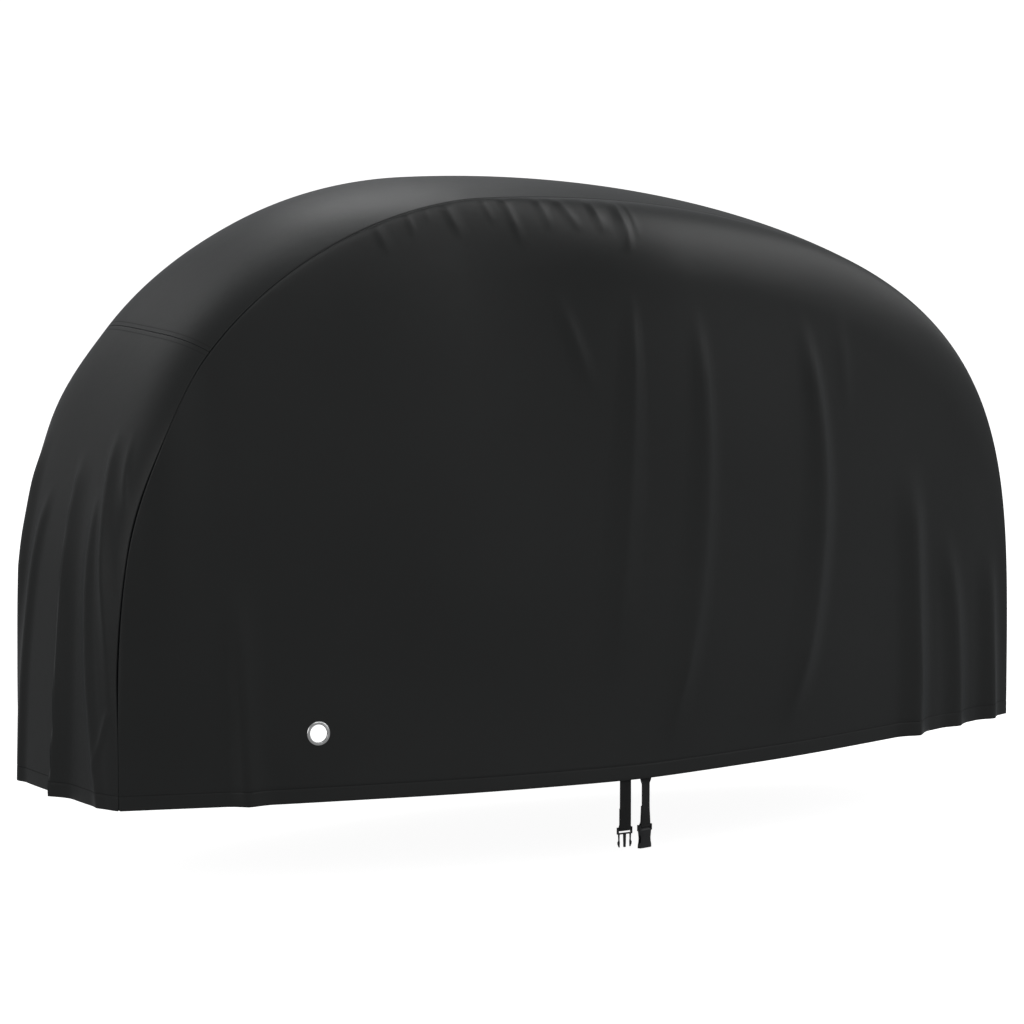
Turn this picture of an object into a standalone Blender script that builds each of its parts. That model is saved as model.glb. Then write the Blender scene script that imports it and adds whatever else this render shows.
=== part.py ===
"""Cloth cover for a bicycle, standing open as a tall half-oval hood.

Two side panels hang from a gusset that runs over the arch from hem to hem. The gusset is cut in two and
joined by a cross seam above the front. Each side panel has one metal eyelet low down near the front, and two
webbing straps with the halves of a side-release buckle hang inside the left hem at mid-length.

Frame, in metres: +X runs from the front end to the rear end, +Y from the left panel to the right panel, +Z up.
The origin lies on the middle plane at mid-length, level with the top of the seams.
"""

import math

import bmesh
import bpy
import mathutils
import numpy as np

# ---------------------------------------------------------------- driving dimensions, in metres
HALF_LENGTH = 1.000        # mid-length to each end of the hem
HEIGHT = 1.094             # hem to the top of the seams
APEX_X = -0.234            # the arch is highest forward of mid-length
FRONT_POWERS = (1.74, 3.45)    # superellipse powers of the front quarter, along x and z
REAR_POWERS = (1.95, 4.08)     # the same for the rear quarter
HEM_BULGE = 0.220          # how far each panel's hem stands out at mid-length beyond its ends
HEM_BULGE_POWER = 1.60     # 2 would be a parabola in plan
CLOTH = 0.0015             # thickness of the cloth
SEAM_INSET = 0.0014        # each sheet ends this far short of the seam line
CORNER_SHARE = 0.93        # the panel grid's upper corners lie at this share of the half length
CROSS_SEAM_X = -0.805      # where the gusset's two pieces meet
SHOULDER_DEPTH = 0.14      # height of the rounding below the seam
SHOULDER_SHARES = (0.10, 0.55)    # part of the flare taken by the rounding, front and rear
SHOULDER_CHANGE = (-0.30, 0.16)   # x range over which the taut front half turns into the rounded rear half
BELLY = 0.90               # how much the front half's flare runs ahead of a straight one, high up
FOLD_START = 0.08          # a fold grows to its full rise over this length
EDGE_FADE = 0.04           # folds die out this close to a seam

# Gusset: half width, crown and the power of the crown's section at stations along the arch. 0 degrees is the
# front hem, 90 the top, 180 the rear hem.
#    degrees, half width, crown, power
GUSSET_CUT = [
    (0.0, 0.208, 0.020, 6.0),
    (5.0, 0.200, 0.022, 6.0),
    (14.0, 0.204, 0.027, 6.0),
    (27.0, 0.225, 0.029, 5.0),
    (39.0, 0.209, 0.031, 4.0),
    (62.0, 0.206, 0.033, 2.2),
    (90.0, 0.203, 0.022, 2.0),
    (130.0, 0.200, 0.018, 2.0),
    (180.0, 0.200, 0.015, 2.0),
]

# Folds. Each is a ridge whose crest passes three points (place across, height). It rises outwards by
# rise_top just below its start and by rise_low at its end. wide_back reaches towards smaller values across,
# wide_on towards larger ones.
#   name          top             middle          low              rise_top rise_low wide_back wide_on
LEFT_FOLDS = [
    ("brow", (-0.118, -0.16), (-0.084, -0.27), (-0.040, -0.41), 0.005, 0.000, 0.030, 0.026),
    ("middle_1", (0.034, -0.17), (0.014, -0.50), (-0.066, -0.96), 0.010, 0.000, 0.055, 0.044),
    ("middle_2", (0.170, -0.20), (0.172, -0.60), (0.055, -1.06), 0.012, 0.000, 0.055, 0.046),
    ("rear_1", (0.434, -0.24), (0.466, -0.64), (0.350, -1.06), 0.014, 0.000, 0.058, 0.048),
    ("rear_2", (0.530, -0.24), (0.540, -0.36), (0.545, -0.50), 0.004, 0.000, 0.030, 0.025),
    ("hem_1", (0.716, -0.54), (0.726, -0.82), (0.712, -1.10), 0.006, 0.022, 0.055, 0.040),
    ("hem_2", (0.806, -0.68), (0.841, -0.88), (0.838, -1.10), 0.003, 0.015, 0.045, 0.034),
    ("hem_3", (0.940, -0.72), (0.948, -0.90), (0.946, -1.10), 0.003, 0.018, 0.045, 0.026),
    ("front_hem", (-0.778, -0.66), (-0.778, -0.90), (-0.774, -1.10), 0.005, 0.015, 0.032, 0.050),
]
RIGHT_FOLDS = [
    ("front_1", (-0.430, -0.30), (-0.450, -0.55), (-0.480, -0.95), 0.007, 0.000, 0.050, 0.045),
    ("middle_1", (-0.080, -0.22), (-0.100, -0.50), (-0.120, -0.90), 0.008, 0.000, 0.040, 0.060),
    ("middle_2", (0.230, -0.26), (0.215, -0.50), (0.190, -0.90), 0.007, 0.000, 0.040, 0.060),
    ("rear_1", (0.515, -0.32), (0.500, -0.60), (0.470, -1.00), 0.009, 0.002, 0.035, 0.060),
    ("hem_1", (0.750, -0.62), (0.748, -0.85), (0.745, -1.10), 0.003, 0.014, 0.050, 0.045),
    ("hem_2", (-0.775, -0.66), (-0.772, -0.88), (-0.768, -1.10), 0.003, 0.014, 0.045, 0.050),
]
FRONT_FOLDS = [
    ("pleat", (0.000, -0.45), (-0.024, -0.74), (-0.004, -1.10), 0.006, 0.027, 0.050, 0.046),
    ("near_1", (-0.096, -0.40), (-0.150, -0.63), (-0.196, -0.94), 0.008, 0.003, 0.030, 0.026),
    ("near_2", (-0.100, -0.50), (-0.112, -0.73), (-0.160, -1.10), 0.006, 0.006, 0.026, 0.030),
    ("far_1", (0.085, -0.52), (0.125, -0.76), (0.165, -1.10), 0.006, 0.008, 0.026, 0.034),
    ("far_2", (0.168, -0.42), (0.172, -0.68), (0.174, -0.96), 0.016, 0.006, 0.036, 0.060),
]
REAR_FOLDS = [
    ("rear_left", (-0.070, -0.50), (-0.080, -0.75), (-0.095, -1.10), 0.003, 0.012, 0.045, 0.050),
    ("rear_right", (0.075, -0.58), (0.085, -0.80), (0.100, -1.10), 0.003, 0.014, 0.050, 0.045),
]

# Panel grid
COLUMN_STEP = 0.085        # widest gap between columns along the hem
COLUMN_MERGE = 0.016       # columns closer than this become one
CORNER_COLUMNS = (0.912, 0.955)    # columns near each end, where the arch turns down
ROW_SHARES = (0.0, 0.05, 0.082, 0.158, 0.24, 0.33, 0.42, 0.51, 0.60, 0.68, 0.755, 0.82, 0.875, 0.92,
              0.955, 0.982, 1.0)
FRONT_ACROSS = (-1.0, -0.90, -0.76, -0.62, -0.48, -0.36, -0.24, -0.11, 0.03, 0.14, 0.26, 0.40, 0.54, 0.68,
                0.84, 1.0)
TOP_ACROSS = (-1.0, -0.72, -0.38, 0.0, 0.38, 0.72, 1.0)

# Eyelets
EYELET_X = -0.636          # from mid-length
EYELET_Z = -0.966          # 128 mm above the hem
EYELET_BORE = 0.0165       # radius of the hole
EYELET_WALL = 0.0008       # thickness of the barrel
EYELET_RIM = 0.0225        # outer radius of the flanges
EYELET_FACE = 0.0030       # half depth over the flanges
EYELET_CLEAR = 0.0004      # gap to the cloth
EYELET_LIP = 0.0010        # rounding of the flanges
FLAT_PATCH = (0.060, 0.120)    # the cloth is flat within the first radius and drapes again at the second
COLUMN_BY_EYELET = 0.040   # grid columns either side of an eyelet

# Straps and buckles
STRAP_WIDTH = 0.025
STRAP_THICK = 0.0014
STRAP_TOP = 0.042          # how far the straps reach up behind the hem
STRAP_TURN_BACK = 0.030    # length sewn back above the buckle's bar
STRAP_CLEAR = 0.0006       # gap between the strap's layers
SEWN_CLEAR = 0.0016        # gap between the cloth and a strap sewn behind it
BUCKLE_HALF_WIDTH = 0.0165
BUCKLE_HALF_SLOT = 0.0134
BAR_RADIUS = 0.0018        # radius of the round bar that carries the strap
BAR_CLEAR = 0.0005         # gap between the bar and the strap
MALE_X = -0.036            # centre lines of the two straps
MALE_DROP = 0.094          # hem edge to the bar
MALE_TURNS = (0.0, 0.0)    # turn about the vertical in degrees: of the free strap, and of the buckle
FEMALE_X = 0.009
FEMALE_DROP = 0.0925
FEMALE_TURNS = (21.0, 12.0)
TWIST_SHARES = (0.13, 0.55)    # of the drop: the strap has its own turn from the first on, and the buckle's
                               # from the second

# Finishes: colour, roughness, metallic
CLOTH_FINISH = ((0.016, 0.017, 0.017), 0.52, 0.0)
WEBBING_FINISH = ((0.013, 0.013, 0.014), 0.75, 0.0)
PLASTIC_FINISH = ((0.020, 0.020, 0.021), 0.38, 0.0)
CHROME_FINISH = ((0.80, 0.81, 0.82), 0.16, 1.0)

FRONT_REACH = HALF_LENGTH + APEX_X
REAR_REACH = HALF_LENGTH - APEX_X
HEM_Z = -HEIGHT
TINY = 1e-9


# ---------------------------------------------------------------- the cover's form
def ease(value):
    """Smooth step from 0 to 1 for values from 0 to 1."""
    share = np.clip(value, 0.0, 1.0)
    return share * share * (3.0 - 2.0 * share)


def arch_point(station):
    """x and z of the seam line at a station: 0 at the front hem, pi / 2 at the top, pi at the rear hem."""
    cosine = np.cos(station)
    front = cosine > 0.0
    reach = np.where(front, -FRONT_REACH, REAR_REACH)
    power_x = np.where(front, FRONT_POWERS[0], REAR_POWERS[0])
    power_z = np.where(front, FRONT_POWERS[1], REAR_POWERS[1])
    x = APEX_X + reach * np.abs(cosine) ** (2.0 / power_x)
    z = HEIGHT * (np.clip(np.sin(station), 0.0, 1.0) ** (2.0 / power_z) - 1.0)
    return x, z


def station_at_x(x):
    """Station of the seam line above a place along the length."""
    front = x < APEX_X
    reach = np.where(front, FRONT_REACH, REAR_REACH)
    power_x = np.where(front, FRONT_POWERS[0], REAR_POWERS[0])
    share = np.clip(np.abs(x - APEX_X) / reach, 0.0, 1.0)
    angle = np.arccos(share ** (power_x / 2.0))
    return np.where(front, angle, math.pi - angle)


def station_at_height(z, rear):
    """Station where the seam line passes a height, on the front or the rear quarter."""
    power_z = REAR_POWERS[1] if rear else FRONT_POWERS[1]
    share = np.clip(1.0 + z / HEIGHT, 0.0, 1.0)
    angle = np.arcsin(share ** (power_z / 2.0))
    return math.pi - angle if rear else angle


def arch_outward(station):
    """Unit vector in the middle plane, square to the seam line and pointing out of the cover."""
    step = 1e-4
    x_back, z_back = arch_point(np.clip(station - step, 0.0, math.pi))
    x_on, z_on = arch_point(np.clip(station + step, 0.0, math.pi))
    length = np.hypot(x_on - x_back, z_on - z_back) + TINY
    return -(z_on - z_back) / length, (x_on - x_back) / length


def from_cut(station, column):
    """A column of the gusset table, eased between its rows."""
    degrees = np.degrees(station)
    result = np.full(np.shape(degrees), GUSSET_CUT[0][column], dtype=float)
    for row, following in zip(GUSSET_CUT, GUSSET_CUT[1:]):
        step = ease((degrees - row[0]) / (following[0] - row[0]))
        result = result + (following[column] - row[column]) * step
    return result


def hem_half_width(x):
    """Half width of the cover at the hem."""
    along = (x / HALF_LENGTH + 1.0) / 2.0
    ends = GUSSET_CUT[0][1] * (1.0 - along) + GUSSET_CUT[-1][1] * along
    return ends + HEM_BULGE * (1.0 - np.abs(x / HALF_LENGTH) ** HEM_BULGE_POWER)


def rearward(x):
    """0 in the cover's taut front half, 1 in its rounded rear half."""
    return ease((x - SHOULDER_CHANGE[0]) / (SHOULDER_CHANGE[1] - SHOULDER_CHANGE[0]))


def shoulder_share(x):
    """Part of the flare that the rounded shoulder takes."""
    return SHOULDER_SHARES[0] + (SHOULDER_SHARES[1] - SHOULDER_SHARES[0]) * rearward(x)


def spread(x, z):
    """Distance of a side panel from the middle plane, without its folds.

    It grows from the seam's half width to the hem's: a rounded shoulder first, then a flare. The flare is
    straight in the rear half and bellied in the front half.
    """
    station = station_at_x(x)
    top = arch_point(station)[1]
    depth = np.clip(top - z, 0.0, None)
    drop = np.maximum(top - HEM_Z, TINY)
    seam = from_cut(station, 1)
    flare = hem_half_width(x) - seam
    share = shoulder_share(x)
    roll = np.sqrt(1.0 - (1.0 - np.clip(depth / SHOULDER_DEPTH, 0.0, 1.0)) ** 2)
    down = np.clip(depth / drop, 0.0, 1.0)
    down = down + BELLY * (1.0 - rearward(x)) * down * (1.0 - down) ** 2
    return seam + flare * (share * roll + (1.0 - share) * down)


def crest(fold, z):
    """Place of a fold's crest at a height: the parabola through its three points."""
    (p1, z1), (p2, z2), (p3, z3) = fold[1:4]
    height = np.clip(z, z3, z1)
    first = (height - z2) * (height - z3) / ((z1 - z2) * (z1 - z3))
    second = (height - z1) * (height - z3) / ((z2 - z1) * (z2 - z3))
    third = (height - z1) * (height - z2) / ((z3 - z1) * (z3 - z2))
    return p1 * first + p2 * second + p3 * third


def fold_rise(folds, across, z):
    """Outward rise of a list of folds: each side of a crest falls off as a parabola."""
    total = np.zeros(np.shape(across))
    for fold in folds:
        rise_top, rise_low, wide_back, wide_on = fold[4:]
        z_top = fold[1][1]
        z_low = fold[3][1]
        start = ease((z_top - z) / FOLD_START)
        run = np.clip((z_top - z) / (z_top - z_low), 0.0, 1.0)
        away = across - crest(fold, z)
        reach = np.where(away < 0.0, -away / wide_back, away / wide_on)
        rise = start * (rise_top + (rise_low - rise_top) * run)
        total = total + rise * np.clip(1.0 - reach, 0.0, 1.0) ** 2
    return total


def from_seams(x, z):
    """0 on the seam line, 1 well inside it."""
    below = arch_point(station_at_x(x))[1] - z
    behind_front = x - arch_point(station_at_height(z, False))[0]
    before_rear = arch_point(station_at_height(z, True))[0] - x
    nearest = np.minimum(below, np.minimum(behind_front, before_rear))
    return ease(nearest / EDGE_FADE)


def draped(x, z, folds):
    """Distance of a side panel from the middle plane, folds included, before the flat patch."""
    return spread(x, z) + from_seams(x, z) * fold_rise(folds, x, z)


def panel_half_width(x, z, folds):
    """Distance of a side panel from the middle plane, flat around its eyelet."""
    slope_step = 1e-3
    centre = float(draped(np.array(EYELET_X), np.array(EYELET_Z), folds))
    slope_x = (float(draped(np.array(EYELET_X + slope_step), np.array(EYELET_Z), folds)) - centre) / slope_step
    slope_z = (float(draped(np.array(EYELET_X), np.array(EYELET_Z + slope_step), folds)) - centre) / slope_step
    plane = centre + slope_x * (x - EYELET_X) + slope_z * (z - EYELET_Z)
    away = np.hypot(x - EYELET_X, z - EYELET_Z)
    loose = ease((away - FLAT_PATCH[0]) / (FLAT_PATCH[1] - FLAT_PATCH[0]))
    return plane + (draped(x, z, folds) - plane) * loose


def eyelet_seat(side, folds):
    """Centre of an eyelet on its panel, and the panel's outward normal there."""
    step = 1e-3
    middle = float(panel_half_width(np.array(EYELET_X), np.array(EYELET_Z), folds))
    along_x = float(panel_half_width(np.array(EYELET_X + step), np.array(EYELET_Z), folds)) - middle
    along_z = float(panel_half_width(np.array(EYELET_X), np.array(EYELET_Z + step), folds)) - middle
    normal = np.array([-along_x / step, side, -along_z / step])
    return np.array([EYELET_X, side * middle, EYELET_Z]), normal / np.linalg.norm(normal)


# ---------------------------------------------------------------- the grids
def panel_columns():
    """Places along the hem of the panel grid's columns: the folds' crests and feet, and an even filling."""
    lean = (1.0 + CORNER_SHARE) / 2.0
    wanted = [CROSS_SEAM_X / CORNER_SHARE, EYELET_X - COLUMN_BY_EYELET, EYELET_X + COLUMN_BY_EYELET]
    for fold in LEFT_FOLDS:
        middle = fold[2][0] / lean
        wanted += [middle, middle - fold[6], middle + fold[7]]
    wanted += [fold[2][0] / lean for fold in RIGHT_FOLDS]
    wanted += [sign * place for sign in (-1.0, 1.0) for place in CORNER_COLUMNS]
    kept = [-HALF_LENGTH, HALF_LENGTH]
    for place in wanted:
        if abs(place) < HALF_LENGTH and min(abs(place - other) for other in kept) > COLUMN_MERGE:
            kept.append(place)
    kept.sort()
    columns = [kept[0]]
    for place in kept[1:]:
        parts = math.ceil((place - columns[-1]) / COLUMN_STEP)
        columns += list(np.linspace(columns[-1], place, parts + 1)[1:])
    return np.array(columns)


def seam_stations(columns):
    """Stations of the panel grid's edge on the seam line: up the front, over the top and down the rear."""
    top = station_at_x(columns * CORNER_SHARE)
    shares = np.array(ROW_SHARES)
    corner_front = arch_point(top[0])[1]
    corner_rear = arch_point(top[-1])[1]
    front = station_at_height(HEM_Z + shares * (corner_front - HEM_Z), False)
    rear = station_at_height(HEM_Z + shares * (corner_rear - HEM_Z), True)
    return front, top, rear


def inset_point(station):
    """Seam line point moved inwards in the middle plane, so that the sheet's edge is SEAM_INSET from the seam.

    Near the seam a shoulder leaves sideways as the square root of its depth, so a small step down is enough
    where the shoulder is wide.
    """
    x, z = arch_point(station)
    out_x, out_z = arch_outward(station)
    sideways = (hem_half_width(x) - from_cut(station, 1)) * shoulder_share(x)
    curl = sideways ** 2 / SHOULDER_DEPTH
    step = np.sqrt(curl ** 2 + SEAM_INSET ** 2) - curl
    return x - out_x * step, z - out_z * step


def panel_points(side, folds, columns):
    """Grid of points over a side panel, rows from hem to seam: a Coons patch inside the arch."""
    front, top, rear = seam_stations(columns)
    u = ((columns + HALF_LENGTH) / (2.0 * HALF_LENGTH))[None, :]
    w = np.array(ROW_SHARES)[:, None]
    front_x, front_z = inset_point(front)
    rear_x, rear_z = inset_point(rear)
    top_x, top_z = inset_point(top)
    hem_x = front_x[0] + (rear_x[0] - front_x[0]) * u

    def patch(hem, over, left, right):
        corners = ((1 - u) * (1 - w) * left[0] + u * (1 - w) * right[0]
                   + (1 - u) * w * left[-1] + u * w * right[-1])
        return (1 - w) * hem + w * over[None, :] + (1 - u) * left[:, None] + u * right[:, None] - corners

    x = patch(hem_x, top_x, front_x, rear_x)
    z = patch(np.full_like(u, HEM_Z), top_z, front_z, rear_z)
    z[0, :] = HEM_Z
    y = side * panel_half_width(x, z, folds)
    return np.stack([x, y, z], axis=-1)


def gusset_points(stations, across, folds):
    """Grid of points over a stretch of the gusset: each station's crowned section, raised by the folds."""
    station = stations[:, None]
    share = np.array(across)[None, :]
    x, z = arch_point(station)
    out_x, out_z = arch_outward(station)
    y = share * (from_cut(station, 1) - SEAM_INSET)
    edges = 1.0 - share ** 6
    crown = from_cut(station, 2) * (1.0 - np.abs(share) ** from_cut(station, 3))
    offset = crown + edges * fold_rise(folds, y, z + 0.0 * y)
    points = np.stack([x + out_x * offset, y, z + out_z * offset], axis=-1)
    for row in (0, -1):
        if abs(z[row, 0] - HEM_Z) < TINY:
            points[row, :, 2] = HEM_Z
    return points


# ---------------------------------------------------------------- Blender helpers
def new_collection(name):
    """A collection linked to the scene."""
    collection = bpy.data.collections.new(name)
    bpy.context.scene.collection.children.link(collection)
    return collection


def new_material(name, finish):
    """A Principled material from a finish."""
    colour, roughness, metallic = finish
    material = bpy.data.materials.new(name)
    material.use_nodes = True
    shader = material.node_tree.nodes["Principled BSDF"]
    shader.inputs["Base Color"].default_value = (*colour, 1.0)
    shader.inputs["Roughness"].default_value = roughness
    shader.inputs["Metallic"].default_value = metallic
    return material


def add_object(name, mesh, collection, finish=None):
    """An object for a mesh, with its own material."""
    thing = bpy.data.objects.new(name, mesh)
    collection.objects.link(thing)
    if finish is not None:
        mesh.materials.append(new_material(name + "_finish", finish))
    return thing


def grid_mesh(name, points):
    """Quads between neighbouring points of a grid."""
    rows, columns = points.shape[:2]
    index = np.arange(rows * columns).reshape(rows, columns)
    quads = np.stack([index[:-1, :-1], index[:-1, 1:], index[1:, 1:], index[1:, :-1]], axis=-1).reshape(-1, 4)
    mesh = bpy.data.meshes.new(name)
    mesh.from_pydata(points.reshape(-1, 3).tolist(), [], quads.tolist())
    mesh.update()
    return mesh


def thicken(thing, thickness):
    """Give an open sheet its thickness, half to each side."""
    solid = thing.modifiers.new("thickness", "SOLIDIFY")
    solid.thickness = thickness
    solid.offset = 0.0
    solid.use_even_offset = True


def cut(thing, cutter, operation="DIFFERENCE"):
    """Boolean with another object, by the exact solver."""
    boolean = thing.modifiers.new(cutter.name, "BOOLEAN")
    boolean.operation = operation
    boolean.solver = "EXACT"
    boolean.object = cutter


def as_cutter(thing):
    """Mark an object as a tool only."""
    thing.hide_render = True
    thing.display_type = "WIRE"
    return thing


def box_mesh(name, low, high):
    """A box between two corners."""
    shape = bmesh.new()
    bmesh.ops.create_cube(shape, size=1.0)
    for vertex in shape.verts:
        for axis in range(3):
            vertex.co[axis] = low[axis] if vertex.co[axis] < 0.0 else high[axis]
    mesh = bpy.data.meshes.new(name)
    shape.to_mesh(mesh)
    shape.free()
    return mesh


def outline_mesh(name, outline, half_depth, bevel):
    """A flat outline in x and z, extruded to both sides along y, its long edges bevelled."""
    shape = bmesh.new()
    front = [shape.verts.new((x, -half_depth, z)) for x, z in outline]
    face = shape.faces.new(front)
    moved = bmesh.ops.extrude_face_region(shape, geom=[face])["geom"]
    back = [item for item in moved if isinstance(item, bmesh.types.BMVert)]
    bmesh.ops.translate(shape, verts=back, vec=(0.0, 2.0 * half_depth, 0.0))
    bmesh.ops.recalc_face_normals(shape, faces=shape.faces)
    rims = [edge for edge in shape.edges if abs(edge.verts[0].co.y - edge.verts[1].co.y) < half_depth]
    bmesh.ops.bevel(shape, geom=rims, offset=bevel, segments=1, affect="EDGES")
    mesh = bpy.data.meshes.new(name)
    shape.to_mesh(mesh)
    shape.free()
    return mesh


# ---------------------------------------------------------------- the cloth
def build_side_panel(name, side, folds, columns, collection, cutters):
    """One side panel with the hole for its eyelet."""
    panel = add_object(name, grid_mesh(name, panel_points(side, folds, columns)), collection, CLOTH_FINISH)
    thicken(panel, CLOTH)
    centre, normal = eyelet_seat(side, folds)
    shape = bmesh.new()
    hole_radius = EYELET_BORE + EYELET_WALL + EYELET_CLEAR
    bmesh.ops.create_cone(shape, cap_ends=True, segments=32, radius1=hole_radius, radius2=hole_radius,
                          depth=10.0 * EYELET_FACE)
    mesh = bpy.data.meshes.new(name + "_hole")
    shape.to_mesh(mesh)
    shape.free()
    punch = as_cutter(add_object(name + "_hole", mesh, cutters))
    place_on_axis(punch, centre, normal)
    cut(panel, punch)


def place_on_axis(thing, centre, normal):
    """Put an object at a point with its own +Z along a direction."""
    turn = np.array([0.0, 0.0, 1.0])
    axis = np.cross(turn, normal)
    angle = math.atan2(np.linalg.norm(axis), float(turn @ normal))
    thing.rotation_mode = "AXIS_ANGLE"
    thing.rotation_axis_angle = (angle, *(axis / np.linalg.norm(axis)))
    thing.location = centre


def build_gusset(columns, collection):
    """The gusset's front piece and its long top piece, a little apart at the cross seam."""
    front, top, rear = seam_stations(columns)
    stations = np.unique(np.concatenate([front, top, rear]).round(9))
    stations[0] = 0.0
    stations[-1] = math.pi
    seam = float(station_at_x(np.array(CROSS_SEAM_X)))
    x_seam, z_seam = arch_point(seam)
    x_next, z_next = arch_point(seam + 1e-4)
    inset = SEAM_INSET * 1e-4 / math.hypot(x_next - x_seam, z_next - z_seam)
    close = 4.0 * inset
    front_stations = np.append(stations[stations < seam - close], seam - inset)
    top_stations = np.insert(stations[stations > seam + close], 0, seam + inset)
    for name, rows, across, folds in (("gusset_front", front_stations, FRONT_ACROSS, FRONT_FOLDS),
                                      ("gusset_top", top_stations, TOP_ACROSS, REAR_FOLDS)):
        points = gusset_points(rows, across, folds)
        piece = add_object(name, grid_mesh(name, points), collection, CLOTH_FINISH)
        thicken(piece, CLOTH)


# ---------------------------------------------------------------- the eyelets
def build_eyelet(name, side, folds, collection):
    """A barrel with a rounded flange on each side of the cloth, turned about its axis."""
    sleeve = EYELET_BORE + EYELET_WALL
    under = CLOTH / 2.0 + EYELET_CLEAR
    half = [
        (sleeve, 0.0),
        (sleeve, under),
        (EYELET_RIM - EYELET_LIP / 2.0, under),
        (EYELET_RIM, under + EYELET_LIP / 2.0),
        (EYELET_RIM, EYELET_FACE - EYELET_LIP),
        (EYELET_RIM - EYELET_LIP, EYELET_FACE),
        (EYELET_BORE + EYELET_LIP, EYELET_FACE),
        (EYELET_BORE, EYELET_FACE - EYELET_LIP),
    ]
    lower = [(radius, -height) for radius, height in reversed(half[1:])]
    profile = list(reversed(half)) + list(reversed(lower))
    mesh = bpy.data.meshes.new(name)
    count = len(profile)
    mesh.from_pydata([(radius, 0.0, height) for radius, height in profile],
                     [(i, (i + 1) % count) for i in range(count)], [])
    ring = add_object(name, mesh, collection, CHROME_FINISH)
    turn = ring.modifiers.new("turn", "SCREW")
    turn.angle = 2.0 * math.pi
    turn.steps = 24
    turn.render_steps = 24
    turn.use_merge_vertices = True
    turn.merge_threshold = 0.00001
    turn.use_normal_calculate = True
    place_on_axis(ring, *eyelet_seat(side, folds))


# ---------------------------------------------------------------- straps and buckles
def strap_path():
    """Side view of a strap as (y, z) from the bar's centre: down, round the bar and back up.

    y points into the cover. The first point is the lower end of the long straight run.
    """
    radius = BAR_RADIUS + BAR_CLEAR + STRAP_THICK / 2.0
    turn = [(-radius * math.cos(angle), -radius * math.sin(angle)) for angle in np.linspace(0.0, math.pi, 7)]
    back_y = -radius + STRAP_THICK + STRAP_CLEAR
    meet = 3.5 * radius
    return turn + [(back_y, meet), (back_y, meet + STRAP_TURN_BACK)]


def strap_turn(below, turns):
    """Turn of a strap about the vertical, in radians, at a share of its drop below the hem."""
    free, buckle = turns
    degrees = free * ease(below / TWIST_SHARES[0])
    degrees = degrees + (buckle - free) * ease((below - TWIST_SHARES[1]) / (1.0 - TWIST_SHARES[1]))
    return math.radians(degrees)


def build_strap(name, centre_x, drop, turns, collection):
    """Webbing from behind the hem to a buckle's bar and sewn back; returns the bar's centre and loop radius.

    Behind the panel it follows the cloth's inner face. Below the hem it hangs straight, and twists to its own
    angle and then to the buckle's.
    """
    behind = CLOTH / 2.0 + SEWN_CLEAR + STRAP_THICK / 2.0
    radius = BAR_RADIUS + BAR_CLEAR + STRAP_THICK / 2.0
    hem_y = behind - float(panel_half_width(np.array(centre_x), np.array(HEM_Z), LEFT_FOLDS))
    bar = np.array([centre_x, hem_y + radius, HEM_Z - drop])
    across = np.array([-0.5, 0.0, 0.5]) * STRAP_WIDTH
    rows = []
    for above in (STRAP_TOP, STRAP_TOP / 2.0):
        height = np.full(3, HEM_Z + above)
        cloth_y = -panel_half_width(centre_x + across, height, LEFT_FOLDS)
        rows.append(np.stack([centre_x + across, cloth_y + behind, height], axis=-1))
    straight = [(-radius, drop * share) for share in (1.0, 0.87, 0.75, 0.45, 0.22)]
    for y, z in straight + strap_path():
        angle = strap_turn(1.0 - z / drop, turns)
        x = bar[0] + across * math.cos(angle) - (y + radius) * math.sin(angle)
        rows.append(np.stack([x, bar[1] + across * math.sin(angle) + y * math.cos(angle),
                              np.full(3, bar[2] + z)], axis=-1))
    strap = add_object(name, grid_mesh(name, np.array(rows)), collection, WEBBING_FINISH)
    thicken(strap, STRAP_THICK)
    return bar, radius


def mirrored(half_outline):
    """A closed outline from its right half, listed from top to bottom."""
    return half_outline + [(-x, z) for x, z in reversed(half_outline) if x > TINY]


def hang_buckle(thing, bar, radius, turn):
    """Put a buckle's bar inside its strap's loop."""
    angle = math.radians(turn)
    thing.location = (bar[0] - radius * math.sin(angle), bar[1], bar[2])
    thing.rotation_euler = (0.0, 0.0, angle)


def add_bar(buckle, name, cutters):
    """Join the round bar for the strap to a buckle, between its cheeks."""
    shape = bmesh.new()
    turn = mathutils.Matrix.Rotation(math.pi / 2.0, 4, "Y")
    bmesh.ops.create_cone(shape, cap_ends=True, segments=12, radius1=BAR_RADIUS, radius2=BAR_RADIUS,
                          depth=2.0 * BUCKLE_HALF_SLOT + 0.002, matrix=turn)
    mesh = bpy.data.meshes.new(name)
    shape.to_mesh(mesh)
    shape.free()
    tool = as_cutter(add_object(name, mesh, cutters))
    tool.parent = buckle
    cut(buckle, tool, "UNION")


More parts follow.
